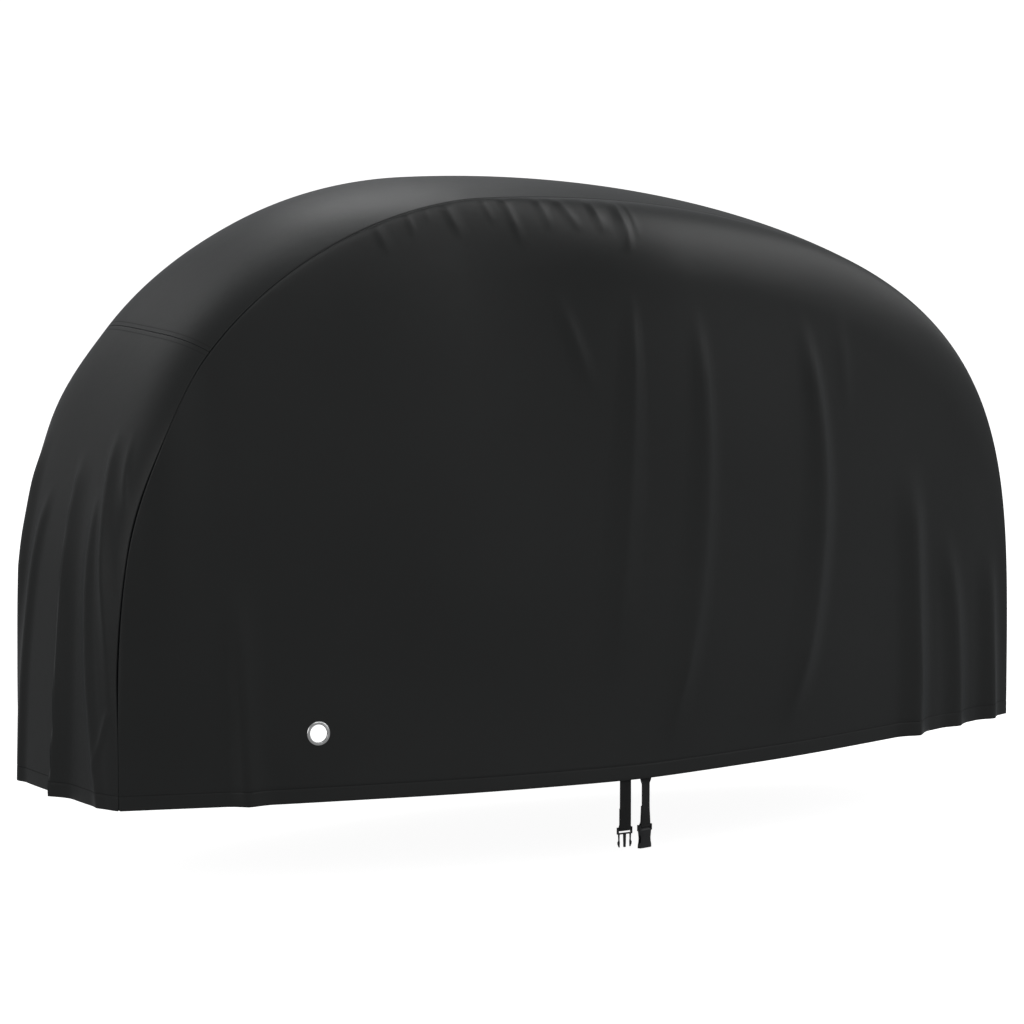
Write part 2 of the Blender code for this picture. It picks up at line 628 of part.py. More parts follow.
def build_male_buckle(bar, radius, collection, cutters):
    """Bar, two sprung arms with hooked heads and a middle guide, cut from one outline."""
    half_outline = [
        (0.0, 0.0034), (BUCKLE_HALF_WIDTH, 0.0034), (BUCKLE_HALF_WIDTH, -0.0100), (0.0140, -0.0115),
        (0.0128, -0.0225), (0.0160, -0.0250), (0.0152, -0.0290), (0.0118, -0.0350), (0.0100, -0.0345),
        (0.0092, -0.0120), (0.0022, -0.0115), (0.0016, -0.0330), (0.0, -0.0345),
    ]
    half_depth = 0.0030
    mesh = outline_mesh("buckle_male", mirrored(half_outline), half_depth, 0.0005)
    buckle = add_object("buckle_male", mesh, collection, PLASTIC_FINISH)
    slot = box_mesh("male_slot", (-BUCKLE_HALF_SLOT, -0.01, -0.0062), (BUCKLE_HALF_SLOT, 0.01, 0.01))
    slot_cutter = as_cutter(add_object("male_slot", slot, cutters))
    slot_cutter.parent = buckle
    cut(buckle, slot_cutter)
    add_bar(buckle, "male_bar", cutters)
    hang_buckle(buckle, bar, radius, MALE_TURNS[1])


def build_female_buckle(bar, radius, collection, cutters):
    """Waisted socket, open below and at its side windows, with a bar above for the strap."""
    half_outline = [
        (0.0, 0.0034), (BUCKLE_HALF_WIDTH, 0.0034), (BUCKLE_HALF_WIDTH, -0.0110), (0.0150, -0.0160),
        (0.0146, -0.0230), (0.0152, -0.0300), (BUCKLE_HALF_WIDTH, -0.0360), (BUCKLE_HALF_WIDTH, -0.0400),
        (0.0, -0.0420),
    ]
    half_depth = 0.0052
    mesh = outline_mesh("buckle_female", mirrored(half_outline), half_depth, 0.0008)
    buckle = add_object("buckle_female", mesh, collection, PLASTIC_FINISH)
    tools = (
        ("female_slot", (-BUCKLE_HALF_SLOT, -0.02, -0.0062), (BUCKLE_HALF_SLOT, 0.02, 0.01)),
        ("female_socket", (-0.0130, -0.0034, -0.0500), (0.0130, 0.0034, -0.0090)),
        ("female_windows", (-0.0300, -0.0026, -0.0330), (0.0300, 0.0026, -0.0170)),
    )
    for name, low, high in tools:
        tool = as_cutter(add_object(name, box_mesh(name, low, high), cutters))
        tool.parent = buckle
        cut(buckle, tool)
    add_bar(buckle, "female_bar", cutters)
    hang_buckle(buckle, bar, radius, FEMALE_TURNS[1])


def main():
    """Build the whole cover."""
    for thing in list(bpy.data.objects):
        bpy.data.objects.remove(thing, do_unlink=True)
    collection = new_collection("bicycle_cover")
    cutters = new_collection("cutters")
    columns = panel_columns()
    build_side_panel("side_panel_left", -1.0, LEFT_FOLDS, columns, collection, cutters)
    build_side_panel("side_panel_right", 1.0, RIGHT_FOLDS, columns, collection, cutters)
    build_gusset(columns, collection)
    build_eyelet("eyelet_left", -1.0, LEFT_FOLDS, collection)
    build_eyelet("eyelet_right", 1.0, RIGHT_FOLDS, collection)
    male_seat = build_strap("strap_male", MALE_X, MALE_DROP, MALE_TURNS, collection)
    female_seat = build_strap("strap_female", FEMALE_X, FEMALE_DROP, FEMALE_TURNS, collection)
    build_male_buckle(*male_seat, collection, cutters)
    build_female_buckle(*female_seat, collection, cutters)


main()
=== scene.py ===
"""A black cloth cover for a bicycle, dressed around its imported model.

The cover stands open as a tall half-oval hood. Two side panels hang from a gusset that runs over the arch from
hem to hem and is cut in two. Frame, in metres: +X from the front end to the rear end, +Y from the left panel to
the right panel, +Z up, with the origin on the middle plane at mid-length, level with the top of the seams.
"""

import logging
import math
from dataclasses import dataclass, field
from enum import Enum

import bpy
import numpy as np
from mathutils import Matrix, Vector


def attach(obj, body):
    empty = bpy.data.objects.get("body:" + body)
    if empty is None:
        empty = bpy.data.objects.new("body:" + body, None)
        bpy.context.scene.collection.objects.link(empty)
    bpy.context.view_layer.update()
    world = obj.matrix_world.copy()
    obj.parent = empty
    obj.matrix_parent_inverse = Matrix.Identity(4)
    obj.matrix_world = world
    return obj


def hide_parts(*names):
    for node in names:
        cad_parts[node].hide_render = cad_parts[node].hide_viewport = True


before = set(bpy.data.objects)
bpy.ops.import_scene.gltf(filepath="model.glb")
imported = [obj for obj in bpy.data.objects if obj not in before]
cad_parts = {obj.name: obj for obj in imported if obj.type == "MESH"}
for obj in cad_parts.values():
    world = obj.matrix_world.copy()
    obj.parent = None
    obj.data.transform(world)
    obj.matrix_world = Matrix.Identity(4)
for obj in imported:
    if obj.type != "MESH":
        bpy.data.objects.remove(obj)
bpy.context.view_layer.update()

LOG = logging.getLogger("bicycle_cover")
Array = np.ndarray
BODY = "root"
CLOTH_MAP = "cloth_map"
TINY = 1e-9


class Side(Enum):
    """The cover's two sides, as the sign of their y."""

    LEFT = -1.0
    RIGHT = 1.0


class Slot(Enum):
    """The record's material slots."""

    CLOTH = "cloth"
    WEBBING = "webbing"
    PLASTIC = "buckle_plastic"
    METAL = "eyelet_metal"


# ---------------------------------------------------------------- small maths
def ease(value: Array) -> Array:
    """Smooth step from 0 to 1 for values from 0 to 1: three squares less two cubes.

    Args:
        value: Numbers of any size; they are held between 0 and 1.

    Returns:
        The eased numbers.
    """
    share = np.clip(value, 0.0, 1.0)
    return share * share * (3.0 - 2.0 * share)


def unit(vectors: Array) -> Array:
    """Vectors along the last axis, scaled to length 1.

    Args:
        vectors: Array whose last axis holds x, y and z.

    Returns:
        An array of the same shape.
    """
    return vectors / (np.linalg.norm(vectors, axis=-1, keepdims=True) + TINY)


def rounded(value: Array, power: float) -> Array:
    """A cosine or sine bent to trace a superellipse of a power: its sign times its size to 2 / power."""
    return np.sign(value) * np.abs(value) ** (2.0 / power)


def run_along(points: Array) -> Array:
    """Length along a line of points, from its first point to each."""
    return np.concatenate([[0.0], np.cumsum(np.linalg.norm(np.diff(points, axis=0), axis=-1))])


def graded(low: float, high: float, spacing: Array) -> Array:
    """Places between two ends, as close together as a spacing asks for at each place.

    The running sum of 1 / spacing counts the steps, and the places are read off at whole counts.

    Args:
        low: First place.
        high: Last place.
        spacing: Wanted spacing, sampled evenly from low to high.

    Returns:
        Rising places, both ends included.
    """
    fine = np.linspace(low, high, len(spacing))
    steps = np.concatenate([[0.0], np.cumsum(np.diff(fine) * 2.0 / (spacing[1:] + spacing[:-1]))])
    return np.interp(np.linspace(0.0, steps[-1], math.ceil(steps[-1]) + 1), steps, fine)


# ---------------------------------------------------------------- meshes
def mesh_from(name: str, points: Array, faces: Array, uv: Array | None = None, smooth: bool = True
              ) -> bpy.types.Mesh:
    """A mesh from points and faces, without the points that no face uses.

    Args:
        name: Name of the mesh.
        points: Points, n by 3.
        faces: Point numbers, m by the corners of a face.
        uv: Map coordinates in metres for each point, n by 2, if the piece has a map.
        smooth: Whether the faces are shaded smooth.

    Returns:
        The new mesh.
    """
    used, packed = np.unique(faces, return_inverse=True)
    mesh = bpy.data.meshes.new(name)
    mesh.from_pydata(points[used].tolist(), [], packed.reshape(faces.shape).tolist())
    if uv is not None:
        layer = mesh.uv_layers.new(name=CLOTH_MAP)
        layer.data.foreach_set("uv", uv[faces.ravel()].astype(np.float32).ravel())
    mesh.polygons.foreach_set("use_smooth", np.full(len(faces), smooth))
    mesh.update()
    return mesh


def grid_faces(rows: int, columns: int, around: bool = False, flip: bool = False) -> Array:
    """Quads between neighbours in a grid of points numbered row by row.

    Args:
        rows: Number of rows.
        columns: Number of columns.
        around: Whether the last column joins the first.
        flip: Whether the faces turn the other way.

    Returns:
        Point numbers, rows - 1 by columns (or columns - 1) by 4.
    """
    index = np.arange(rows * columns).reshape(rows, columns)
    if around:
        index = np.concatenate([index, index[:, :1]], axis=1)
    quads = np.stack([index[:-1, :-1], index[:-1, 1:], index[1:, 1:], index[1:, :-1]], axis=-1)
    return quads[..., ::-1] if flip else quads


def add_piece(name: str, mesh: bpy.types.Mesh, material: bpy.types.Material,
              nodes: tuple[str, ...] = ()) -> bpy.types.Object:
    """An object for a finished mesh, riding on the cover's body.

    Args:
        name: Name of the piece.
        mesh: Its mesh, in the row frame.
        material: Its material.
        nodes: CAD nodes that it stands for.

    Returns:
        The new object.
    """
    piece = bpy.data.objects.new(name, mesh)
    bpy.context.scene.collection.objects.link(piece)
    mesh.materials.append(material)
    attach(piece, BODY)
    if nodes:
        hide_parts(*nodes)
    return piece


def thicken(piece: bpy.types.Object, thickness: float) -> None:
    """Give an open sheet its thickness, inwards from the face that is modelled.

    Args:
        piece: The sheet.
        thickness: In metres.
    """
    solid = piece.modifiers.new("cloth", "SOLIDIFY")
    solid.thickness = thickness
    solid.offset = -1.0


# ---------------------------------------------------------------- shader maths
class Signal:
    """A number that varies over a surface. Arithmetic on it adds Math nodes."""

    def __init__(self, graph: "Graph", socket: bpy.types.NodeSocket) -> None:
        """Wrap a socket.

        Args:
            graph: The node graph that the socket belongs to.
            socket: An output socket.
        """
        self.graph = graph
        self.socket = socket

    def math(self, operation: str, *values: "Signal | float") -> "Signal":
        """One Math node.

        Args:
            operation: The node's operation.
            values: Its inputs, in order.

        Returns:
            Its output.
        """
        node = self.graph.node("ShaderNodeMath", {"operation": operation}, dict(enumerate(values)))
        return Signal(self.graph, node.outputs[0])

    def __add__(self, other: "Signal | float") -> "Signal":
        """self + other."""
        return self.math("ADD", self, other)

    __radd__ = __add__

    def __sub__(self, other: "Signal | float") -> "Signal":
        """self - other."""
        return self.math("SUBTRACT", self, other)

    def __rsub__(self, other: float) -> "Signal":
        """other - self."""
        return self.math("SUBTRACT", other, self)

    def __mul__(self, other: "Signal | float") -> "Signal":
        """self * other."""
        return self.math("MULTIPLY", self, other)

    __rmul__ = __mul__

    def __abs__(self) -> "Signal":
        """Size without sign."""
        return self.math("ABSOLUTE", self)

    def sine(self) -> "Signal":
        """Sine of an angle in radians."""
        return self.math("SINE", self)

    def above(self, limit: float) -> "Signal":
        """1 where it is over a limit, else 0."""
        return self.math("GREATER_THAN", self, limit)

    def band(self, centre: float, half_width: float) -> "Signal":
        """1 at a centre, falling smoothly to 0 at a half width to each side.

        Args:
            centre: Middle of the band.
            half_width: Distance from it to nothing.

        Returns:
            The band as a mask.
        """
        node = self.graph.node("ShaderNodeMapRange", {"interpolation_type": "SMOOTHSTEP"},
                               {"Value": abs(self - centre), "From Min": half_width, "From Max": 0.0})
        return Signal(self.graph, node.outputs["Result"])


class Graph:
    """The nodes of one material around its Principled shader."""

    def __init__(self, name: str) -> None:
        """Start a material.

        Args:
            name: Its name.
        """
        self.material = bpy.data.materials.new(name)
        self.material.use_nodes = True
        self.tree = self.material.node_tree
        self.shader = self.tree.nodes["Principled BSDF"]

    def node(self, kind: str, settings: dict, values: dict) -> bpy.types.Node:
        """Any node.

        Args:
            kind: Its type.
            settings: Its own settings, set first.
            values: Socket names or numbers, and the numbers, colours, sockets or signals that they take.

        Returns:
            The node.
        """
        node = self.tree.nodes.new(kind)
        for key, value in settings.items():
            setattr(node, key, value)
        for key, value in values.items():
            self.feed(node.inputs[key], value)
        return node

    def feed(self, socket: bpy.types.NodeSocket, value: object) -> None:
        """Link or set one socket.

        Args:
            socket: An input socket.
            value: A signal or socket to link, or a plain value.
        """
        source = value.socket if isinstance(value, Signal) else value
        if isinstance(source, bpy.types.NodeSocket):
            self.tree.links.new(source, socket)
        else:
            socket.default_value = source

    def set(self, **values: object) -> None:
        """Set or link the shader's sockets; an underscore in a name stands for a space.

        Args:
            values: Socket names and what they take.
        """
        for key, value in values.items():
            self.feed(self.shader.inputs[key.replace("_", " ")], value)

    def map_axes(self) -> tuple[Signal, Signal]:
        """The piece's own map, as two signals in metres."""
        source = self.node("ShaderNodeUVMap", {"uv_map": CLOTH_MAP}, {})
        parts = self.node("ShaderNodeSeparateXYZ", {}, {"Vector": source.outputs["UV"]})
        return Signal(self, parts.outputs["X"]), Signal(self, parts.outputs["Y"])

    def noise(self, scale: float, detail: float, stretch: tuple[float, float, float] = (1.0, 1.0, 1.0)) -> Signal:
        """Cloudy noise from 0 to 1 on object coordinates.

        Args:
            scale: Features per metre.
            detail: Octaves.
            stretch: Factor on each axis; smaller than 1 draws the clouds out along it.

        Returns:
            The noise.
        """
        place = self.node("ShaderNodeTexCoord", {}, {})
        drawn = self.node("ShaderNodeMapping", {}, {"Vector": place.outputs["Object"], "Scale": stretch})
        cloud = self.node("ShaderNodeTexNoise", {}, {"Vector": drawn.outputs["Vector"], "Scale": scale,
                                                     "Detail": detail})
        return Signal(self, cloud.outputs["Fac"])

    def blend_colours(self, factor: Signal, first: tuple | bpy.types.NodeSocket, second: tuple
                      ) -> bpy.types.NodeSocket:
        """A Mix node for two colours.

        Args:
            factor: 0 for the first, 1 for the second.
            first: Linear red, green and blue, or an already mixed colour's socket.
            second: Linear red, green and blue.

        Returns:
            The mixed colour's socket.
        """
        under = (*first, 1.0) if isinstance(first, tuple) else first
        node = self.node("ShaderNodeMix", {"data_type": "RGBA"}, {0: factor, 6: under, 7: (*second, 1.0)})
        return node.outputs[2]

    def bump(self, height: Signal) -> None:
        """Feed the shader's normal from a height in millimetres."""
        node = self.node("ShaderNodeBump", {}, {"Height": height, "Distance": 0.001})
        self.set(Normal=node.outputs["Normal"])


# ---------------------------------------------------------------- finishes
@dataclass(frozen=True)
class ClothFinish:
    """Black plain-woven cloth with a satin coating."""

    colour: tuple[float, float, float] = (0.0150, 0.0162, 0.0160)
    dusty: tuple[float, float, float] = (0.0215, 0.0230, 0.0228)
    stitched: tuple[float, float, float] = (0.0060, 0.0064, 0.0064)
    roughness: float = 0.40
    thread: float = 0.0008
    stitch_reach: float = 0.0016

    def material(self, name: str, seams: tuple[float, ...]) -> bpy.types.Material:
        """The cloth's material.

        The weave's height is the greater of the two threads' rounded backs, each |sine| across its own thread,
        and they take turns on top where the product of the sines changes sign.

        Args:
            name: Name of the material.
            seams: Places along the map's second axis where a stitched line runs, in metres.

        Returns:
            The material.
        """
        graph = Graph(name)
        across, along = graph.map_axes()
        turn = math.pi / self.thread
        weft = (across * turn).sine()
        warp = (along * turn).sine()
        over = (weft * warp).above(0.0)
        weave = abs(weft) * over + abs(warp) * (1.0 - over)
        crumple = graph.noise(34.0, 3.0)
        clouds = graph.noise(3.2, 4.0)
        grain = graph.noise(900.0, 1.0)
        line = along.band(seams[0], self.stitch_reach)
        for place in seams[1:]:
            line = line.math("MAXIMUM", line, along.band(place, self.stitch_reach))
        aged = clouds * 0.9 + grain * 0.3 - 0.2
        base = graph.blend_colours(aged, self.colour, self.dusty)
        graph.set(Base_Color=graph.blend_colours(line * 0.8, base, self.stitched),
                  Roughness=self.roughness + clouds * 0.10 + line * 0.2 - 0.05,
                  Specular_IOR_Level=0.42, Sheen_Weight=0.06, Sheen_Roughness=0.5,
                  Sheen_Tint=(0.75, 0.85, 0.95, 1.0))
        graph.bump(weave * 0.03 + crumple * 0.30)
        return graph.material


@dataclass(frozen=True)
class WebbingFinish:
    """Black woven strap with ribs along it."""

    colour: tuple[float, float, float] = (0.010, 0.0105, 0.011)
    worn: tuple[float, float, float] = (0.024, 0.025, 0.026)
    rib: float = 0.0016
    pick: float = 0.0011

    def material(self, name: str) -> bpy.types.Material:
        """The webbing's material: ribs along the strap, each crossed by slanting picks.

        Args:
            name: Name of the material.

        Returns:
            The material.
        """
        graph = Graph(name)
        across, along = graph.map_axes()
        ribs = abs((across * (math.pi / self.rib)).sine())
        picks = abs(((along + across * 0.6) * (math.pi / self.pick)).sine())
        wear = graph.noise(160.0, 3.0)
        graph.set(Base_Color=graph.blend_colours(ribs * 0.4 + wear * 0.6 - 0.15, self.colour, self.worn),
                  Roughness=0.62 + wear * 0.2, Specular_IOR_Level=0.35, Sheen_Weight=0.10, Sheen_Roughness=0.4)
        graph.bump(ribs * 0.25 + picks * 0.12)
        return graph.material


@dataclass(frozen=True)
class PlasticFinish:
    """Black moulded plastic, satin."""

    colour: tuple[float, float, float] = (0.016, 0.017, 0.019)
    scuffed: tuple[float, float, float] = (0.040, 0.042, 0.046)

    def material(self, name: str) -> bpy.types.Material:
        """The plastic's material: a fine spark-eroded grain, and scuffs where noise runs high.

        Args:
            name: Name of the material.

        Returns:
            The material.
        """
        graph = Graph(name)
        scuffs = graph.noise(420.0, 4.0)
        grain = graph.noise(3500.0, 1.0)
        graph.set(Base_Color=graph.blend_colours(scuffs * 1.4 - 0.5, self.colour, self.scuffed),
                  Roughness=0.24 + scuffs * 0.16, Specular_IOR_Level=0.55)
        graph.bump(grain * 0.02 + scuffs * 0.03)
        return graph.material


@dataclass(frozen=True)
class MetalFinish:
    """Bright nickel plate on a pressed eyelet."""

    colour: tuple[float, float, float] = (0.93, 0.94, 0.95)
    tarnished: tuple[float, float, float] = (0.80, 0.79, 0.77)

    def material(self, name: str) -> bpy.types.Material:
        """The plate's material: polished, with faint press marks and a little tarnish.

        Args:
            name: Name of the material.

        Returns:
            The material.
        """
        graph = Graph(name)
        marks = graph.noise(700.0, 3.0)
        tarnish = graph.noise(90.0, 4.0)
        graph.set(Base_Color=graph.blend_colours(tarnish * 1.6 - 0.7, self.colour, self.tarnished),
                  Metallic=1.0, Roughness=0.10 + tarnish * 0.16)
        graph.bump(marks * 0.02)
        return graph.material


@dataclass(frozen=True)
class ThreadFinish:
    """Black sewing thread."""

    colour: tuple[float, float, float] = (0.007, 0.0075, 0.0078)
    fuzz: tuple[float, float, float] = (0.020, 0.021, 0.022)

    def material(self, name: str) -> bpy.types.Material:
        """The thread's material: a fine mottle for its twist.

        Args:
            name: Name of the material.

        Returns:
            The material.
        """
        graph = Graph(name)
        twist = graph.noise(2600.0, 2.0)
        graph.set(Base_Color=graph.blend_colours(twist, self.colour, self.fuzz), Roughness=0.5 + twist * 0.2,
                  Specular_IOR_Level=0.4)
        graph.bump(twist * 0.05)
        return graph.material


# ---------------------------------------------------------------- folds
@dataclass(frozen=True)
class Fold:
    """A ridge in the cloth. Its crest is the parabola through three points (place across, height)."""

    top: tuple[float, float]
    low: tuple[float, float]
    rises: tuple[float, float, float]
    widths: tuple[float, float]
    middle: tuple[float, float] | None = None
    start: float = 0.08
    end: float = 0.0
    soft: float = 0.10
    narrow: float = 1.0
    power: float = 1.6

    def crest(self, z: Array) -> Array:
        """Place of the crest at a height: the parabola, or the straight line where there is no middle point.

        Args:
            z: Heights.

        Returns:
            Places across.
        """
        (p1, z1), (p3, z3) = self.top, self.low
        height = np.clip(z, z3, z1)
        if self.middle is None:
            return p1 + (p3 - p1) * (z1 - height) / (z1 - z3)
        p2, z2 = self.middle
        first = (height - z2) * (height - z3) / ((z1 - z2) * (z1 - z3))
        second = (height - z1) * (height - z3) / ((z2 - z1) * (z2 - z3))
        third = (height - z1) * (height - z2) / ((z3 - z1) * (z3 - z2))
        return p1 * first + p2 * second + p3 * third

    def rise(self, across: Array, z: Array) -> Array:
        """Outward rise of the ridge.

        Each flank falls off as a power of what is left of its width, and the crest is rounded by a small softness.
        Along the crest the rise goes through three values, and eases in at the top and out at the end. The widths
        grow from a share of themselves at the top.

        Args:
            across: Places across.
            z: Heights.

        Returns:
            Rise in metres.
        """
        run = (self.top[1] - z) / (self.top[1] - self.low[1])
        along = np.interp(run, (0.0, 0.5, 1.0), self.rises)
        along = along * ease((self.top[1] - z) / self.start)
        if self.end > 0.0:
            along = along * ease((z - self.low[1]) / self.end)
        away = (across - self.crest(z)) / (self.narrow + (1.0 - self.narrow) * np.clip(2.0 * run, 0.0, 1.0))
        reach = np.where(away < 0.0, -away / self.widths[0], away / self.widths[1])
        rounded = (np.sqrt(reach * reach + self.soft * self.soft) - self.soft) / (math.hypot(1.0, self.soft)
                                                                                  - self.soft)
        return along * np.clip(1.0 - rounded, 0.0, 1.0) ** self.power


def total_rise(folds: tuple[Fold, ...], across: Array, z: Array) -> Array:
    """Sum of the folds' rises.

    Args:
        folds: The folds.
        across: Places across.
        z: Heights.

    Returns:
        Rise in metres.
    """
    return sum((fold.rise(across, z) for fold in folds), np.zeros(np.broadcast(across, z).shape))


def pucker(top: tuple[float, float], low: tuple[float, float], rises: tuple[float, float],
           widths: tuple[float, float]) -> Fold:
    """A short gather under the seam: it starts at once, and dies out at its lower end."""
    return Fold(top, low, (*rises, 0.0), widths, start=0.004)


LEFT_FOLDS = (
    Fold((-0.118, -0.16), (-0.040, -0.41), (0.005, 0.004, 0.0), (0.030, 0.026), middle=(-0.084, -0.27), start=0.10,
         end=0.12),
    Fold((0.034, -0.17), (-0.066, -0.96), (0.009, 0.009, 0.003), (0.055, 0.044), middle=(0.014, -0.50), start=0.14,
         end=0.20, narrow=0.45),
    Fold((0.170, -0.20), (0.055, -1.06), (0.010, 0.012, 0.008), (0.055, 0.046), middle=(0.172, -0.60), start=0.15,
         end=0.18, narrow=0.45),
    Fold((0.434, -0.24), (0.350, -1.06), (0.012, 0.015, 0.011), (0.058, 0.048), middle=(0.466, -0.64), start=0.15,
         end=0.18, narrow=0.45),
    Fold((0.530, -0.24), (0.545, -0.50), (0.004, 0.003, 0.0), (0.030, 0.025), middle=(0.540, -0.36), start=0.10,
         end=0.12),
    Fold((0.716, -0.54), (0.712, -1.10), (0.006, 0.014, 0.022), (0.055, 0.040), middle=(0.726, -0.82), start=0.14),
    Fold((0.806, -0.68), (0.838, -1.10), (0.003, 0.009, 0.015), (0.045, 0.034), middle=(0.841, -0.88), start=0.12),
    Fold((0.940, -0.72), (0.946, -1.10), (0.003, 0.010, 0.018), (0.045, 0.026), middle=(0.948, -0.90), start=0.12),
    Fold((-0.778, -0.66), (-0.774, -1.10), (0.005, 0.012, 0.015), (0.032, 0.050), middle=(-0.778, -0.90),
         start=0.14),
)
LEFT_PUCKERS = (
    pucker((-0.460, -0.034), (-0.441, -0.092), (0.0028, 0.0022), (0.013, 0.024)),
    pucker((-0.391, -0.018), (-0.383, -0.062), (0.0028, 0.0022), (0.013, 0.016)),
    pucker((-0.352, -0.010), (-0.346, -0.040), (0.0016, 0.0012), (0.010, 0.012)),
    pucker((-0.309, -0.008), (-0.286, -0.070), (0.0032, 0.0026), (0.016, 0.026)),
    pucker((-0.229, -0.002), (-0.214, -0.048), (0.0022, 0.0016), (0.012, 0.015)),
    pucker((-0.185, -0.002), (-0.166, -0.088), (0.0042, 0.0036), (0.015, 0.020)),
    pucker((-0.114, -0.004), (-0.106, -0.062), (0.0040, 0.0032), (0.016, 0.018)),
    pucker((-0.073, -0.006), (-0.050, -0.064), (0.0056, 0.0048), (0.018, 0.020)),
    pucker((-0.006, -0.010), (-0.006, -0.070), (0.0066, 0.0056), (0.016, 0.022)),
    pucker((0.047, -0.014), (0.038, -0.108), (0.0080, 0.0070), (0.022, 0.018)),
    pucker((0.072, -0.016), (0.064, -0.080), (0.0036, 0.0024), (0.010, 0.014)),
)
RIGHT_FOLDS = (
    Fold((-0.430, -0.30), (-0.480, -0.95), (0.007, 0.005, 0.0), (0.050, 0.045), middle=(-0.450, -0.55), end=0.10),
    Fold((-0.080, -0.22), (-0.120, -0.90), (0.008, 0.006, 0.0), (0.040, 0.060), middle=(-0.100, -0.50), end=0.10),
    Fold((0.230, -0.26), (0.190, -0.90), (0.007, 0.006, 0.0), (0.040, 0.060), middle=(0.215, -0.50), end=0.10),
    Fold((0.515, -0.32), (0.470, -1.00), (0.009, 0.007, 0.002), (0.035, 0.060), middle=(0.500, -0.60)),
    Fold((0.750, -0.62), (0.745, -1.10), (0.003, 0.009, 0.014), (0.050, 0.045), middle=(0.748, -0.85)),
    Fold((-0.775, -0.66), (-0.768, -1.10), (0.003, 0.009, 0.014), (0.045, 0.050), middle=(-0.772, -0.88)),
)
RIGHT_PUCKERS = (
    pucker((-0.440, -0.028), (-0.410, -0.085), (0.0028, 0.0020), (0.011, 0.010)),
    pucker((-0.350, -0.010), (-0.322, -0.070), (0.0032, 0.0024), (0.012, 0.010)),
    pucker((-0.290, -0.004), (-0.262, -0.060), (0.0026, 0.0020), (0.011, 0.009)),
    pucker((-0.200, -0.002), (-0.176, -0.082), (0.0038, 0.0030), (0.014, 0.011)),
    pucker((-0.120, -0.004), (-0.092, -0.060), (0.0028, 0.0020), (0.011, 0.009)),
    pucker((-0.030, -0.009), (0.004, -0.090), (0.0042, 0.0034), (0.015, 0.011)),
    pucker((0.040, -0.013), (0.080, -0.110), (0.0050, 0.0040), (0.016, 0.012)),
)
FRONT_FOLDS = (
    Fold((0.000, -0.45), (-0.004, -1.10), (0.006, 0.018, 0.027), (0.050, 0.020), middle=(-0.024, -0.74), soft=0.05),
    Fold((-0.096, -0.40), (-0.196, -0.94), (0.006, 0.008, 0.003), (0.030, 0.024), middle=(-0.150, -0.63), end=0.06),
    Fold((-0.100, -0.50), (-0.160, -1.10), (0.005, 0.007, 0.006), (0.024, 0.026), middle=(-0.112, -0.73)),
    Fold((0.085, -0.52), (0.165, -1.10), (0.006, 0.008, 0.008), (0.026, 0.034), middle=(0.125, -0.76)),
    Fold((-0.190, -0.90), (-0.135, -1.05), (0.004, 0.004, 0.0), (0.014, 0.014), start=0.02, end=0.03),
    Fold((0.168, -0.42), (0.174, -0.96), (0.010, 0.017, 0.004), (0.036, 0.060), middle=(0.172, -0.68), start=0.12),
    Fold((-0.148, -0.40), (-0.200, -0.58), (0.003, 0.004, 0.0), (0.016, 0.014), middle=(-0.166, -0.48), end=0.05),
)
REAR_FOLDS = (
    Fold((-0.070, -0.50), (-0.095, -1.10), (0.003, 0.008, 0.012), (0.045, 0.050), middle=(-0.080, -0.75)),
    Fold((0.075, -0.58), (0.100, -1.10), (0.003, 0.009, 0.014), (0.050, 0.045), middle=(0.085, -0.80)),
)


